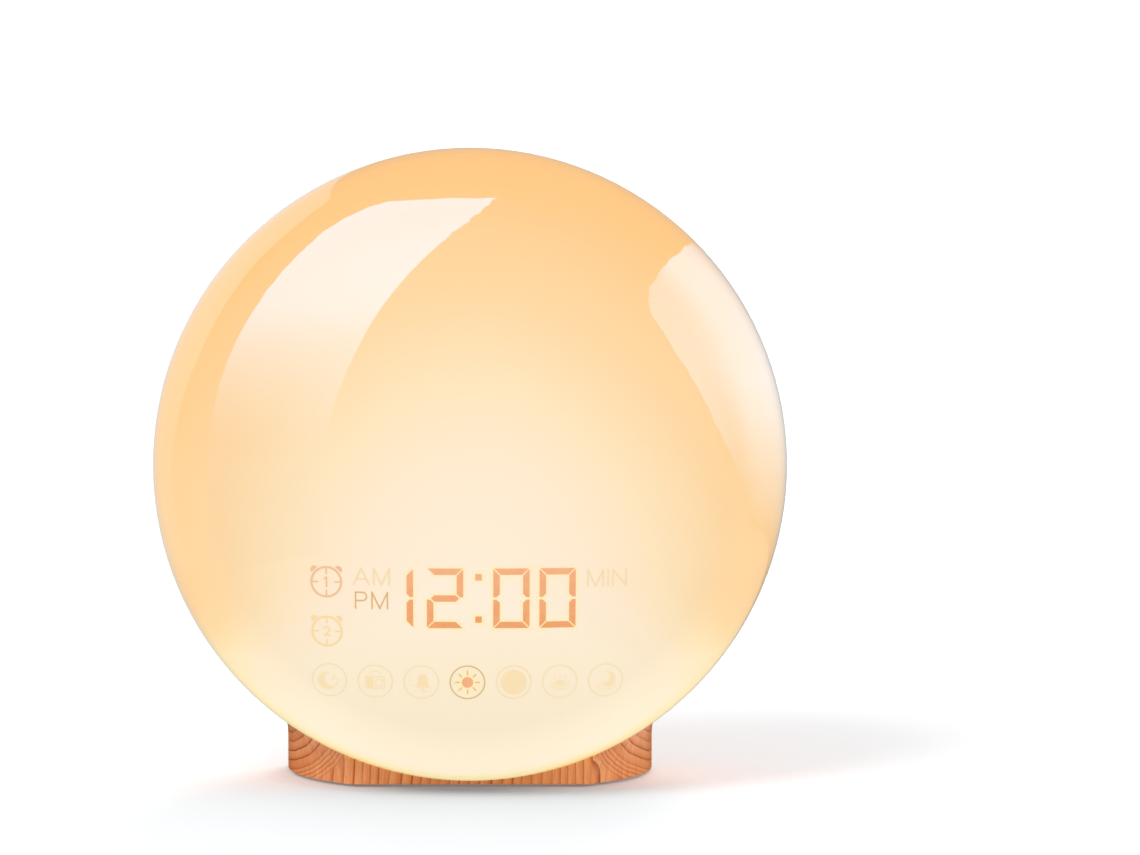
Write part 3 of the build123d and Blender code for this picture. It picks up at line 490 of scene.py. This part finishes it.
HOUSING_PITH = (-260 * MM, 100 * MM, 60 * MM)
HOUSING_LEAN = (4, -3, 0)  # degrees
finishes = {
    "diffuser": diffuser(),
    "wood_print": wood("wood_print", HOUSING_PITH, HOUSING_LEAN, foot=True),
    "white_plastic": plastic("white_plastic", srgb(240, 240, 236), srgb(230, 230, 226)),
    "light_guide": lit_guide(),
    "white_board": board("white_board", srgb(240, 241, 238), srgb(226, 226, 220), srgb(150, 150, 150)),
    "green_board": board("green_board", srgb(28, 96, 56), srgb(42, 122, 74), srgb(224, 230, 222)),
    "led": phosphor(),
    "chip": epoxy(),
    "capacitor": capacitor_can(),
    "connector": plastic("connector", srgb(238, 233, 216), srgb(228, 220, 198)),
    "steel": metal("steel", srgb(196, 197, 200), srgb(176, 178, 182), (1, 0.05, 1)),
    "magnet": metal("magnet", srgb(92, 92, 96), srgb(72, 72, 76), (1, 1, 1), roughness=(0.5, 0.7)),
    "paper_cone": pressed_paper(),
    "rubber": rubber(),
    "foam": foam(),
    "copper": windings(),
    "wire": insulation(),
}
slot_of = {piece["node"]: piece["material_slot"] for piece in frame["record"]["subparts"]}


def wear(node, finish):
    """Gives a CAD node its finish."""
    mesh = frame["nodes"][node].data
    mesh.materials.clear()
    mesh.materials.append(finish)


for node_name, slot_name in slot_of.items():
    wear(node_name, finishes[slot_name])
cap_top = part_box("snooze_button")[1].z
CAP_PITH = (70 * MM, -40 * MM, cap_top - 20 * MM)
CAP_LEAN = (20, 62, 30)
wear("snooze_button", wood("snooze_print", CAP_PITH, CAP_LEAN, ring_gap=1.8 * MM, deepen=0.8))


# ================================================================ display legends, drawn on the dome
# Shapes are lists of polygons in millimetres from the dome's axis: x to the right, z up.
LEGEND_LIFT = 0.16 * MM
GLOW_LIFT = 0.08 * MM
STROKE = 0.34
DIGIT_PLACES = (-19.4, -6.45, 10.7, 22.65)
DIGIT_MIDDLE = -31.9
DIGIT_WIDTH = 9.4
DIGIT_HEIGHT = 15.8
DIGIT_STROKE = 1.7
DIGIT_GAP = 0.2
DIGIT_HALO = 1.2
COLON_HALO = 1.4
SUN_HALO = 3.0
COLON_X = 2.2
COLON_SPREAD = 11.2
MODE_PITCH = 12.05
MODE_CENTRE = -0.65
MODE_MIDDLE = -54.5
MODE_RADIUS = 4.7
ALARM_X = -37.25
ALARM_MIDDLES = (-27.9, -41.1)
ALARM_RADIUS = 4.2
LETTER_HEIGHT = 4.2
LETTER_STROKE = 0.095  # share of the letter's height
LETTER_GAP = 0.3


def on_dome(x, z, lift):
    """Point of the dome's surface at x and z from its axis, in metres, lifted forwards."""
    share = (x * x + z * z) / DOME_RADIUS**2
    return AXIS + Vector((x, -DOME_LIP - DOME_BULGE * sqrt(1 - share) - lift, z))


def shifted(shapes, x, z, size=1.0):
    return [[(x + size * px, z + size * pz) for px, pz in shape] for shape in shapes]


def arc_points(x, z, radius, start=0.0, spread=360.0, steps=32):
    turns = [radians(start + spread * step / steps) for step in range(steps + 1)]
    return [(x + radius * cos(turn), z + radius * sin(turn)) for turn in turns]


def disc(x, z, radius):
    return [arc_points(x, z, radius)[:-1]]


def ring(x, z, radius, width=STROKE, start=0.0, spread=360.0, steps=40):
    outer = arc_points(x, z, radius + width / 2, start, spread, steps)
    inner = arc_points(x, z, radius - width / 2, start, spread, steps)
    return [[outer[k], outer[k + 1], inner[k + 1], inner[k]] for k in range(steps)]


def stroke(points, width=STROKE):
    """Straight strokes from point to point, with square ends that overlap at the corners."""
    shapes = []
    for (ax, az), (bx, bz) in zip(points, points[1:]):
        length = sqrt((bx - ax) ** 2 + (bz - az) ** 2)
        ux, uz = (bx - ax) / length * width / 2, (bz - az) / length * width / 2
        shapes.append(
            [
                (ax - ux + uz, az - uz - ux),
                (bx + ux + uz, bz + uz - ux),
                (bx + ux - uz, bz + uz + ux),
                (ax - ux - uz, az - uz + ux),
            ]
        )
    return shapes


def crescent(x, z, radius, bite, turn):
    """Moon: a disc with a smaller one taken out towards turn."""
    outer = arc_points(0, 0, radius, 50, 260)
    start = outer[-1]
    middle = (bite, 0)
    inner_radius = sqrt((start[0] - middle[0]) ** 2 + start[1] ** 2)
    inner = [point for point in arc_points(*middle, inner_radius, steps=72) if point[0] < start[0]]
    inner.sort(key=lambda point: point[1])
    across, up = cos(radians(turn)), sin(radians(turn))
    return [[(x + px * across - pz * up, z + px * up + pz * across) for px, pz in outer + inner]]


def segment_digit(names):
    """Lit segments of a seven-segment digit, with mitred ends."""
    half, rise, thick, gap = DIGIT_WIDTH / 2, DIGIT_HEIGHT / 2, DIGIT_STROKE, DIGIT_GAP
    level = [
        (gap - half, rise),
        (half - gap, rise),
        (half - thick - gap, rise - thick),
        (thick + gap - half, rise - thick),
    ]
    upright_bar = [
        (half, rise - gap),
        (half, 1.6 * gap),
        (half - thick / 2, 1.6 * gap),
        (half - thick, thick / 2 + 1.6 * gap),
        (half - thick, rise - thick - gap),
    ]
    low_tip = thick / 2
    middle = [
        (low_tip - half + gap, 0),
        (thick - half + gap, low_tip),
        (half - thick - gap, low_tip),
        (half - low_tip - gap, 0),
        (half - thick - gap, -low_tip),
        (thick - half + gap, -low_tip),
    ]
    parts = {
        "top": level,
        "bottom": [(x, -z) for x, z in level],
        "upper_right": upright_bar,
        "lower_right": [(x, -z) for x, z in upright_bar],
        "upper_left": [(-x, z) for x, z in upright_bar],
        "lower_left": [(-x, -z) for x, z in upright_bar],
        "middle": middle,
    }
    return [parts[name] for name in names]


def draw(name, shapes, finish, lift=LEGEND_LIFT, fades=None):
    """One legend as a thin mesh on the dome. fades gives each corner's strength, for a halo."""
    points, faces = [], []
    for shape in shapes:
        faces.append(range(len(points), len(points) + len(shape)))
        points += [on_dome(x * MM, z * MM, lift) for x, z in shape]
    mesh = bpy.data.meshes.new(name)
    mesh.from_pydata(points, [], [list(face) for face in faces])
    if fades:
        values = mesh.attributes.new("fade", "FLOAT", "POINT")
        values.data.foreach_set("value", fades)
    for face in mesh.polygons:
        if face.normal.y > 0:
            face.flip()
    mesh.materials.append(finish)
    piece = bpy.data.objects.new(name, mesh)
    bpy.context.scene.collection.objects.link(piece)
    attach(piece, "clock_body")


def legend_ink(name, colour, top=None):
    """Lit legend seen through the dome; top is its colour higher up."""
    g = Graph(name)
    height = g.span(g.split(g.place)[2], AXIS.z - 40 * MM, AXIS.z - 24 * MM)
    tone = g.mix(height, colour, top or colour)
    tone = g.mix(g.span(g.noise(g.place, 500.0), 0.35, 0.65, 0.0, 0.12), tone, srgb(255, 226, 176))
    g.set(Base_Color=(0.12, 0.06, 0.03, 1), Emission_Color=tone, Emission_Strength=GLOW_STRENGTH)
    g.set(Roughness=0.4, Coat_Weight=0.6, Coat_Roughness=0.05)
    return g.material


def halo_ink():
    """Soft yellow light round a lit legend, gone at its outer edge."""
    g = Graph("legend_halo")
    g.set(Base_Color=DOME_BODY, Emission_Color=srgb(255, 238, 176), Emission_Strength=GLOW_STRENGTH)
    g.set(Roughness=0.4)
    fade = g.add("Attribute", attribute_name="fade").outputs["Fac"]
    g.set(Alpha=g.math("MULTIPLY", g.math("POWER", fade, 1.6), 0.85))
    return g.material


def halo(name, shapes, reach):
    """Band round each shape, from full strength at its outline to nothing at reach."""
    bands, fades = [], []
    for shape in shapes:
        middle_x = sum(x for x, z in shape) / len(shape)
        middle_z = sum(z for x, z in shape) / len(shape)
        half_x = max(abs(x - middle_x) for x, z in shape)
        half_z = max(abs(z - middle_z) for x, z in shape)
        widen_x, widen_z = 1 + reach / half_x, 1 + reach / half_z
        outer = [(middle_x + (x - middle_x) * widen_x, middle_z + (z - middle_z) * widen_z) for x, z in shape]
        count = len(shape)
        for k in range(count):
            after = (k + 1) % count
            bands.append([shape[k], shape[after], outer[after], outer[k]])
            fades += [1.0, 1.0, 0.0, 0.0]
    draw(name, bands, halo_finish, GLOW_LIFT, fades)


halo_finish = halo_ink()
digit_ink = legend_ink("digit_ink", srgb(238, 150, 84), srgb(243, 168, 122))
lit_word_ink = legend_ink("lit_word_ink", srgb(222, 172, 104))
faint_ink = legend_ink("faint_ink", srgb(244, 222, 172))
faint_fill_ink = legend_ink("faint_fill_ink", srgb(250, 230, 184))
alarm_one_ink = legend_ink("alarm_one_ink", srgb(238, 190, 148))
alarm_two_ink = legend_ink("alarm_two_ink", srgb(250, 222, 160))
sun_ring_ink = legend_ink("sun_ring_ink", srgb(210, 182, 108))
sun_ink = legend_ink("sun_ink", srgb(244, 170, 122))

ONE = ("upper_right", "lower_right")
TWO = ("top", "upper_right", "middle", "lower_left", "bottom")
ZERO = ("top", "upper_right", "lower_right", "bottom", "lower_left", "upper_left")
for number, (place, segments) in enumerate(zip(DIGIT_PLACES, (ONE, TWO, ZERO, ZERO)), 1):
    shapes = shifted(segment_digit(segments), place, DIGIT_MIDDLE)
    draw(f"digit_{number}", shapes, digit_ink)
    halo(f"digit_{number}_glow", shapes, DIGIT_HALO)
half_dot = DIGIT_STROKE / 2
square = [(-half_dot, -half_dot), (half_dot, -half_dot), (half_dot, half_dot), (-half_dot, half_dot)]
dots = []
for end in (-1, 1):
    dots += shifted([square], COLON_X, DIGIT_MIDDLE + end * COLON_SPREAD / 2)
draw("colon", dots, digit_ink)
halo("colon_glow", dots, COLON_HALO)

# letters in a box one high; the width of each is given with it
LETTERS = {
    "A": (
        0.95,
        stroke([(0.0, 0.0), (0.475, 1.0), (0.95, 0.0)], LETTER_STROKE)
        + stroke([(0.17, 0.34), (0.78, 0.34)], LETTER_STROKE),
    ),
    "M": (0.95, stroke([(0.0, 0.0), (0.0, 1.0), (0.475, 0.0), (0.95, 1.0), (0.95, 0.0)], LETTER_STROKE)),
    "P": (
        0.72,
        stroke([(0.0, 0.0), (0.0, 1.0), (0.42, 1.0)], LETTER_STROKE)
        + stroke([(0.0, 0.48), (0.42, 0.48)], LETTER_STROKE)
        + ring(0.42, 0.74, 0.26, LETTER_STROKE, -90, 180, 16),
    ),
    "I": (0.0, stroke([(0.0, 0.0), (0.0, 1.0)], LETTER_STROKE)),
    "N": (0.82, stroke([(0.0, 0.0), (0.0, 1.0), (0.82, 0.0), (0.82, 1.0)], LETTER_STROKE)),
}


def word(text, x, z):
    """Word of light capitals, centred on x and z."""
    total = sum(LETTERS[letter][0] for letter in text) + LETTER_GAP * (len(text) - 1)
    at = x - total * LETTER_HEIGHT / 2
    shapes = []
    for letter in text:
        width, strokes = LETTERS[letter]
        shapes += shifted(strokes, at, z - LETTER_HEIGHT / 2, LETTER_HEIGHT)
        at += (width + LETTER_GAP) * LETTER_HEIGHT
    return shapes


WORDS = (("AM", -25.5, -26.3, faint_ink), ("PM", -25.5, -32.6, lit_word_ink), ("MIN", 35.5, -26.8, faint_ink))
for text, x, z, ink in WORDS:
    draw(f"word_{text.lower()}", word(text, x, z), ink)


def rays(x, z, inner, outer, turns, width=0.26):
    """Short strokes that point away from x and z."""
    shapes = []
    for turn in turns:
        across, up = cos(radians(turn)), sin(radians(turn))
        shapes += stroke([(x + reach * across, z + reach * up) for reach in (inner, outer)], width)
    return shapes


def alarm_symbol(number):
    """Alarm clock: dial with ticks, two bells on top and its number in the middle."""
    shapes = ring(0, 0, ALARM_RADIUS - 0.3, 0.56)
    shapes += rays(0, 0, ALARM_RADIUS - 1.9, ALARM_RADIUS - 0.6, range(0, 360, 90), 0.4)
    for side in (-1, 1):
        turn = 90 - side * 44
        bell = radians(turn)
        reach = ALARM_RADIUS + 0.25
        shapes.append(arc_points(reach * cos(bell), reach * sin(bell), 1.05, turn - 90, 180, 12))
    if number == 1:
        return shapes + stroke([(-0.5, 0.85), (0.05, 1.2), (0.05, -1.2)], 0.42)
    curl = arc_points(0, 0.45, 0.7, 160, -200, 10)
    return shapes + stroke([*curl, (-0.7, -1.15), (0.75, -1.15)], 0.4)


for number, (middle, ink) in enumerate(zip(ALARM_MIDDLES, (alarm_one_ink, alarm_two_ink)), 1):
    draw(f"alarm_symbol_{number}", shifted(alarm_symbol(number), ALARM_X, middle), ink)


def note(x, z):
    """Music note: head and stem with a flag."""
    return disc(x, z, 0.32) + stroke([(x + 0.27, z), (x + 0.27, z + 1.25), (x + 0.7, z + 0.95)], 0.2)


def moon_symbol():
    """Moon with two music notes."""
    return crescent(-0.6, -0.2, 2.5, 1.4, 25) + note(0.9, 0.3) + note(1.9, -0.9)


def radio_symbol():
    """Radio with a grille, a dial and a handle."""
    case = [(-2.5, -1.9), (2.5, -1.9), (2.5, 1.3), (-2.5, 1.3)]
    dial = ring(1.0, -0.35, 1.0, 0.3, steps=20)
    left = [(-2.5, -1.9), (-0.5, -1.9), (-0.5, 1.3), (-2.5, 1.3)]
    return [left] + stroke([*case, case[0]], 0.3) + dial + ring(0, 1.3, 1.6, 0.26, 20, 140, 16)


def bell_symbol():
    """Ringing bell on a line."""
    side = [(0.45, 2.2), (1.15, 1.5), (1.35, 0.2), (1.55, -0.9), (2.1, -1.5)]
    shape = side + [(-x, z) for x, z in reversed(side)]
    marks = rays(0, 0.4, 2.4, 3.2, (150, 180, 210), 0.2)
    ground = stroke([(-1.9, -2.6), (2.5, -2.6)], 0.2)
    return shifted([shape], 0.4, 0) + disc(0.4, -1.95, 0.42) + ground + marks


def sunrise_symbol():
    """Half a sun with rays, over two lines."""
    sun = [arc_points(0, -0.9, 1.35, 0, 180, 16)]
    lines = stroke([(-2.7, -1.3), (2.7, -1.3)], 0.26) + stroke([(-1.7, -2.1), (1.7, -2.1)], 0.26)
    return sun + rays(0, -0.9, 1.9, 2.9, (20, 55, 90, 125, 160)) + lines


def moonset_symbol():
    """Moon and a star over two lines."""
    moon = crescent(0.7, 0.4, 1.9, 1.05, 155)
    lines = stroke([(-2.9, -1.6), (2.9, -1.6)], 0.22) + stroke([(-1.8, -2.4), (1.8, -2.4)], 0.22)
    return moon + lines + disc(-1.9, 1.5, 0.22)


modes = (
    ("moon", moon_symbol()),
    ("radio", radio_symbol()),
    ("bell", bell_symbol()),
    ("sun", disc(0, 0, 1.5)),
    ("light", disc(0, 0, 3.4)),
    ("sunrise", sunrise_symbol()),
    ("moonset", moonset_symbol()),
)
for number, (mode, shapes) in enumerate(modes):
    x = MODE_CENTRE + (number - (len(modes) - 1) / 2) * MODE_PITCH
    chosen = mode == "sun"
    width, ring_ink, ink = (0.36, sun_ring_ink, sun_ink) if chosen else (0.24, faint_ink, faint_fill_ink)
    draw(f"mode_{mode}_ring", ring(x, MODE_MIDDLE, MODE_RADIUS - 0.2, width), ring_ink)
    draw(f"mode_{mode}", shifted(shapes, x, MODE_MIDDLE), ink)
    if chosen:
        draw("mode_sun_rays", rays(x, MODE_MIDDLE, 2.1, 3.1, range(0, 360, 45), 0.3), sun_ring_ink)
        halo("mode_sun_glow", shifted(shapes, x, MODE_MIDDLE), SUN_HALO)


# ================================================================ floor, backdrop and light
FLOOR_SIZE = 8.0
FLOOR_GLOW = 0.13  # seen by the camera only: it keeps the floor white without lighting the clock
FLOOR_TONE = (0.83, 0.85, 0.862, 1)
SWEEP_START = 1.2
SWEEP_RADIUS = 0.8
SWEEP_STEPS = 16


def seen_by_camera(tree, colour, strength):
    """Emission that only the camera sees."""
    path = tree.nodes.new("ShaderNodeLightPath")
    glow = tree.nodes.new("ShaderNodeEmission")
    glow.inputs["Color"].default_value = colour
    scale = tree.nodes.new("ShaderNodeMath")
    scale.operation = "MULTIPLY"
    scale.inputs[1].default_value = strength
    tree.links.new(path.outputs["Is Camera Ray"], scale.inputs[0])
    tree.links.new(scale.outputs[0], glow.inputs["Strength"])
    return glow.outputs[0]


def floor_finish():
    """Matt floor, lifted to white for the camera."""
    g = Graph("floor")
    g.set(Base_Color=FLOOR_TONE, Roughness=0.9, Specular_IOR_Level=0.0)
    join = g.add("AddShader")
    g.link(g.shader.outputs[0], join.inputs[0])
    g.link(seen_by_camera(g.tree, (1, 1, 1, 1), FLOOR_GLOW), join.inputs[1])
    g.link(join.outputs[0], g.output.inputs["Surface"])
    return g.material


def sweep():
    """Floor that curves up into a wall far behind."""
    profile = [(-FLOOR_SIZE / 2, 0.0), (SWEEP_START, 0.0)]
    for step in range(1, SWEEP_STEPS + 1):
        turn = radians(90 * step / SWEEP_STEPS)
        profile.append((SWEEP_START + SWEEP_RADIUS * sin(turn), SWEEP_RADIUS * (1 - cos(turn))))
    profile.append((SWEEP_START + SWEEP_RADIUS, FLOOR_SIZE / 2))
    points = [(side * FLOOR_SIZE / 2, y, z) for y, z in profile for side in (-1, 1)]
    faces = [(2 * k, 2 * k + 1, 2 * k + 3, 2 * k + 2) for k in range(len(profile) - 1)]
    mesh = bpy.data.meshes.new("floor")
    mesh.from_pydata(points, [], faces)
    mesh.shade_smooth()
    mesh.materials.append(floor_finish())
    ground = bpy.data.objects.new("floor", mesh)
    ground.visible_glossy = False
    bpy.context.scene.collection.objects.link(ground)


sweep()


def light_only(source, name, receivers):
    """Keeps a glowing object's light to some receivers."""
    group = bpy.data.collections.new(name)
    for receiver in receivers:
        group.objects.link(receiver)
    source.light_linking.receiver_collection = group


dome = frame["nodes"]["diffuser_dome"]
light_only(dome, "lit_by_dome", frame["nodes"].values())  # it lights the clock, but doesn't tint the floor

AMBIENT = 0.55


def studio_world():
    """Even light all round, white where the camera sees it."""
    world = bpy.data.worlds.new("studio")
    bpy.context.scene.world = world
    world.use_nodes = True
    sky = world.node_tree
    sky.nodes.clear()
    path = sky.nodes.new("ShaderNodeLightPath")
    level = sky.nodes.new("ShaderNodeMapRange")
    level.inputs["To Min"].default_value = AMBIENT
    level.inputs["To Max"].default_value = 1.0
    background = sky.nodes.new("ShaderNodeBackground")
    output = sky.nodes.new("ShaderNodeOutputWorld")
    sky.links.new(path.outputs["Is Camera Ray"], level.inputs["Value"])
    sky.links.new(level.outputs["Result"], background.inputs["Strength"])
    sky.links.new(background.outputs[0], output.inputs[0])


studio_world()


def soft_light(name, place, aim, size, power):
    """Square softbox aimed at a point; it does not show in reflections."""
    lamp = bpy.data.lights.new(name, "AREA")
    lamp.size = size
    lamp.energy = power
    holder = bpy.data.objects.new(name, lamp)
    holder.location = place
    holder.rotation_euler = (Vector(aim) - Vector(place)).to_track_quat("-Z", "Y").to_euler()
    holder.visible_glossy = False
    bpy.context.scene.collection.objects.link(holder)


soft_light("key", (-0.9, -1.1, 1.4), AXIS, 1.0, 22.0)
soft_light("fill", (1.3, -0.9, 0.8), AXIS, 1.2, 9.0)
FOOT_AIM = AXIS - Vector((0, 0, 60 * MM))
for side in (-1, 1):
    soft_light("low", (side * 0.8, -0.6, 0.15), FOOT_AIM, 0.5, 2.7)
soft_light("back", (0.5, 1.6, 1.3), AXIS, 1.2, 20.0)

# Softboxes whose reflections lie on the dome, as rows from a start to an end: degrees to the right of the
# camera's side and degrees up, of each end, and the strength there. The angles aren't chosen by hand alone:
# outline points were read by eye in the photograph, a scratch script mirrored the camera's rays through them
# in the dome, and its results were rounded and partly adjusted. Strengths and dim lower ends are given one
# by one.
BOX_DISTANCE = 3.0
WINDOW_TONE = (0.05, 0.54, 1.0, 1)
RIGHT_TONE = (0.12, 0.60, 1.0, 1)
EDGE_TONE = (0.6, 0.85, 1.0, 1)
WINDOW = (
    (-73, -26, -33, -20, 0.0, 0.0),
    (-73, -6, -31, -5, 0.06, 0.06),
    (-73, 8, -30, 6, 0.14, 0.14),
    (-73, 22, -26, 22, 0.52, 0.52),
    (-73, 34, -22, 34, 0.92, 0.92),
    (-74, 48, -15, 47, 1.0, 1.0),
    (-77, 58, -6, 58, 1.0, 1.0),
    (-73, 68, 6, 68, 1.0, 1.0),
    (-61, 72, 12, 71, 1.0, 1.0),
    (-19, 76, 18, 74, 1.0, 1.0),
    (24, 76, 24, 75.8, 1.0, 1.0),
)
LEFT_EDGE = (
    (-99, 20, -99, 25, 1.0, 1.0),
    (-102, 8, -102, 34, 0.8, 1.0),
    (-106, -4, -106, 42, 0.5, 1.0),
    (-111, -26, -111, 50, 0.2, 1.0),
    (-124, -26, -124, 55, 0.2, 1.0),
    (-134, -26, -134, 52.5, 0.2, 0.9),
    (-145, -26, -145, 47, 0.2, 0.8),
    (-156, -26, -156, 38, 0.2, 0.7),
    (-165, -26, -165, 27, 0.2, 0.6),
    (-179, -26, -179, 8, 0.2, 0.5),
)
RIGHT_WINDOW = (
    (53, 31, 53, 32, 0.7, 0.7),
    (55, 24, 55, 35.5, 0.7, 0.7),
    (60, 15, 60, 39, 0.7, 0.72),
    (67, 5, 67, 41, 0.5, 0.76),
    (76, -3, 76, 43, 0.2, 0.88),
    (89, -13, 89, 44, 0.0, 1.1),
    (103, -15, 103, 43, 0.0, 1.0),
    (117, -15, 117, 40, 0.0, 0.8),
    (128, -15, 128, 36.5, 0.0, 0.6),
    (138, -15, 138, 31.5, 0.0, 0.4),
    (151, -15, 151, 23, 0.0, 0.2),
    (165, -15, 165, 10, 0.0, 0.08),
    (179, -15, 179, 0, 0.0, 0.04),
)


def softbox_finish(name, tone, strength):
    """Glow that follows the fade of each corner."""
    g = Graph(name)
    glow = g.add("Emission")
    glow.inputs["Color"].default_value = tone
    fade = g.add("Attribute", attribute_name="fade").outputs["Fac"]
    g.feed(glow.inputs["Strength"], g.math("MULTIPLY", fade, strength))
    g.link(glow.outputs[0], g.output.inputs["Surface"])
    return g.material


def direction(azimuth, elevation):
    """Unit vector, in degrees to the right of the camera's side and up."""
    turn, rise = radians(azimuth), radians(elevation)
    return Vector((cos(rise) * sin(turn), -cos(rise) * cos(turn), sin(rise)))


def between(before, start, end, after, t):
    """Value at share t of the way from start to end, on a smooth curve through all four."""
    bend = 2 * before - 5 * start + 4 * end - after + t * (3 * start - 3 * end + after - before)
    return start + t / 2 * (end - before + t * bend)


def smoothed(rows, steps=10):
    """The rows with others put between them, along smooth curves."""
    dense = []
    for k in range(len(rows) - 1):
        around = rows[max(k - 1, 0)], rows[k], rows[k + 1], rows[min(k + 2, len(rows) - 1)]
        for step in range(steps):
            dense.append([between(*four, step / steps) for four in zip(*around)])
    return dense + [rows[-1]]


def softbox(name, rows, tone, strength, rise=1.0):
    """Panel that only the dome mirrors; rise is how fast its start strength turns to its end strength."""
    columns = 8
    points, fades, faces = [], [], []
    rows = smoothed(rows)
    for start_turn, start_height, end_turn, end_height, start_fade, end_fade in rows:
        for column in range(columns + 1):
            share = column / columns
            azimuth = start_turn + (end_turn - start_turn) * share
            elevation = start_height + (end_height - start_height) * share
            points.append(AXIS + BOX_DISTANCE * direction(azimuth, elevation))
            fades.append(max(start_fade + (end_fade - start_fade) * min(share * rise, 1), 0))
    for row in range(len(rows) - 1):
        for column in range(columns):
            corner = row * (columns + 1) + column
            faces.append((corner, corner + 1, corner + columns + 2, corner + columns + 1))
    mesh = bpy.data.meshes.new(name)
    mesh.from_pydata(points, [], faces)
    values = mesh.attributes.new("fade", "FLOAT", "POINT")
    values.data.foreach_set("value", fades)
    mesh.materials.append(softbox_finish(name, tone, strength))
    panel = bpy.data.objects.new(name, mesh)
    bpy.context.scene.collection.objects.link(panel)
    for kind in ("camera", "diffuse", "transmission", "volume_scatter", "shadow"):
        setattr(panel, f"visible_{kind}", False)
    light_only(panel, f"{name}_mirror", [dome])


softbox("softbox_left", WINDOW, WINDOW_TONE, 11.4)
softbox("softbox_left_edge", LEFT_EDGE, EDGE_TONE, 1.9, rise=1.4)
softbox("softbox_right", RIGHT_WINDOW, RIGHT_TONE, 7.6, rise=2.2)

# ================================================================ camera
def photo_camera():
    """Camera that frames the dome as the photograph does."""
    camera = bpy.data.cameras.new("camera")
    camera.sensor_width = SENSOR
    focal_pixels = DOME_PIXEL_RADIUS / DOME_RADIUS * CAMERA_DISTANCE
    camera.lens = focal_pixels / FRAME_WIDTH * SENSOR
    camera.shift_x = (FRAME_WIDTH / 2 - DOME_PIXEL[0]) / FRAME_WIDTH
    camera.shift_y = (DOME_PIXEL[1] - FRAME_HEIGHT / 2) / FRAME_WIDTH
    viewer = bpy.data.objects.new("camera", camera)
    viewer.location = AXIS + Vector((0, -CAMERA_DISTANCE, CAMERA_RISE))
    viewer.rotation_euler = (AXIS - viewer.location).to_track_quat("-Z", "Y").to_euler()
    bpy.context.scene.collection.objects.link(viewer)
    bpy.context.scene.camera = viewer


photo_camera()
bpy.context.scene.view_settings.view_transform = "Standard"


def plain(box):
    """Corners of a box as lists of numbers."""
    return [list(map(float, corner)) for corner in box]
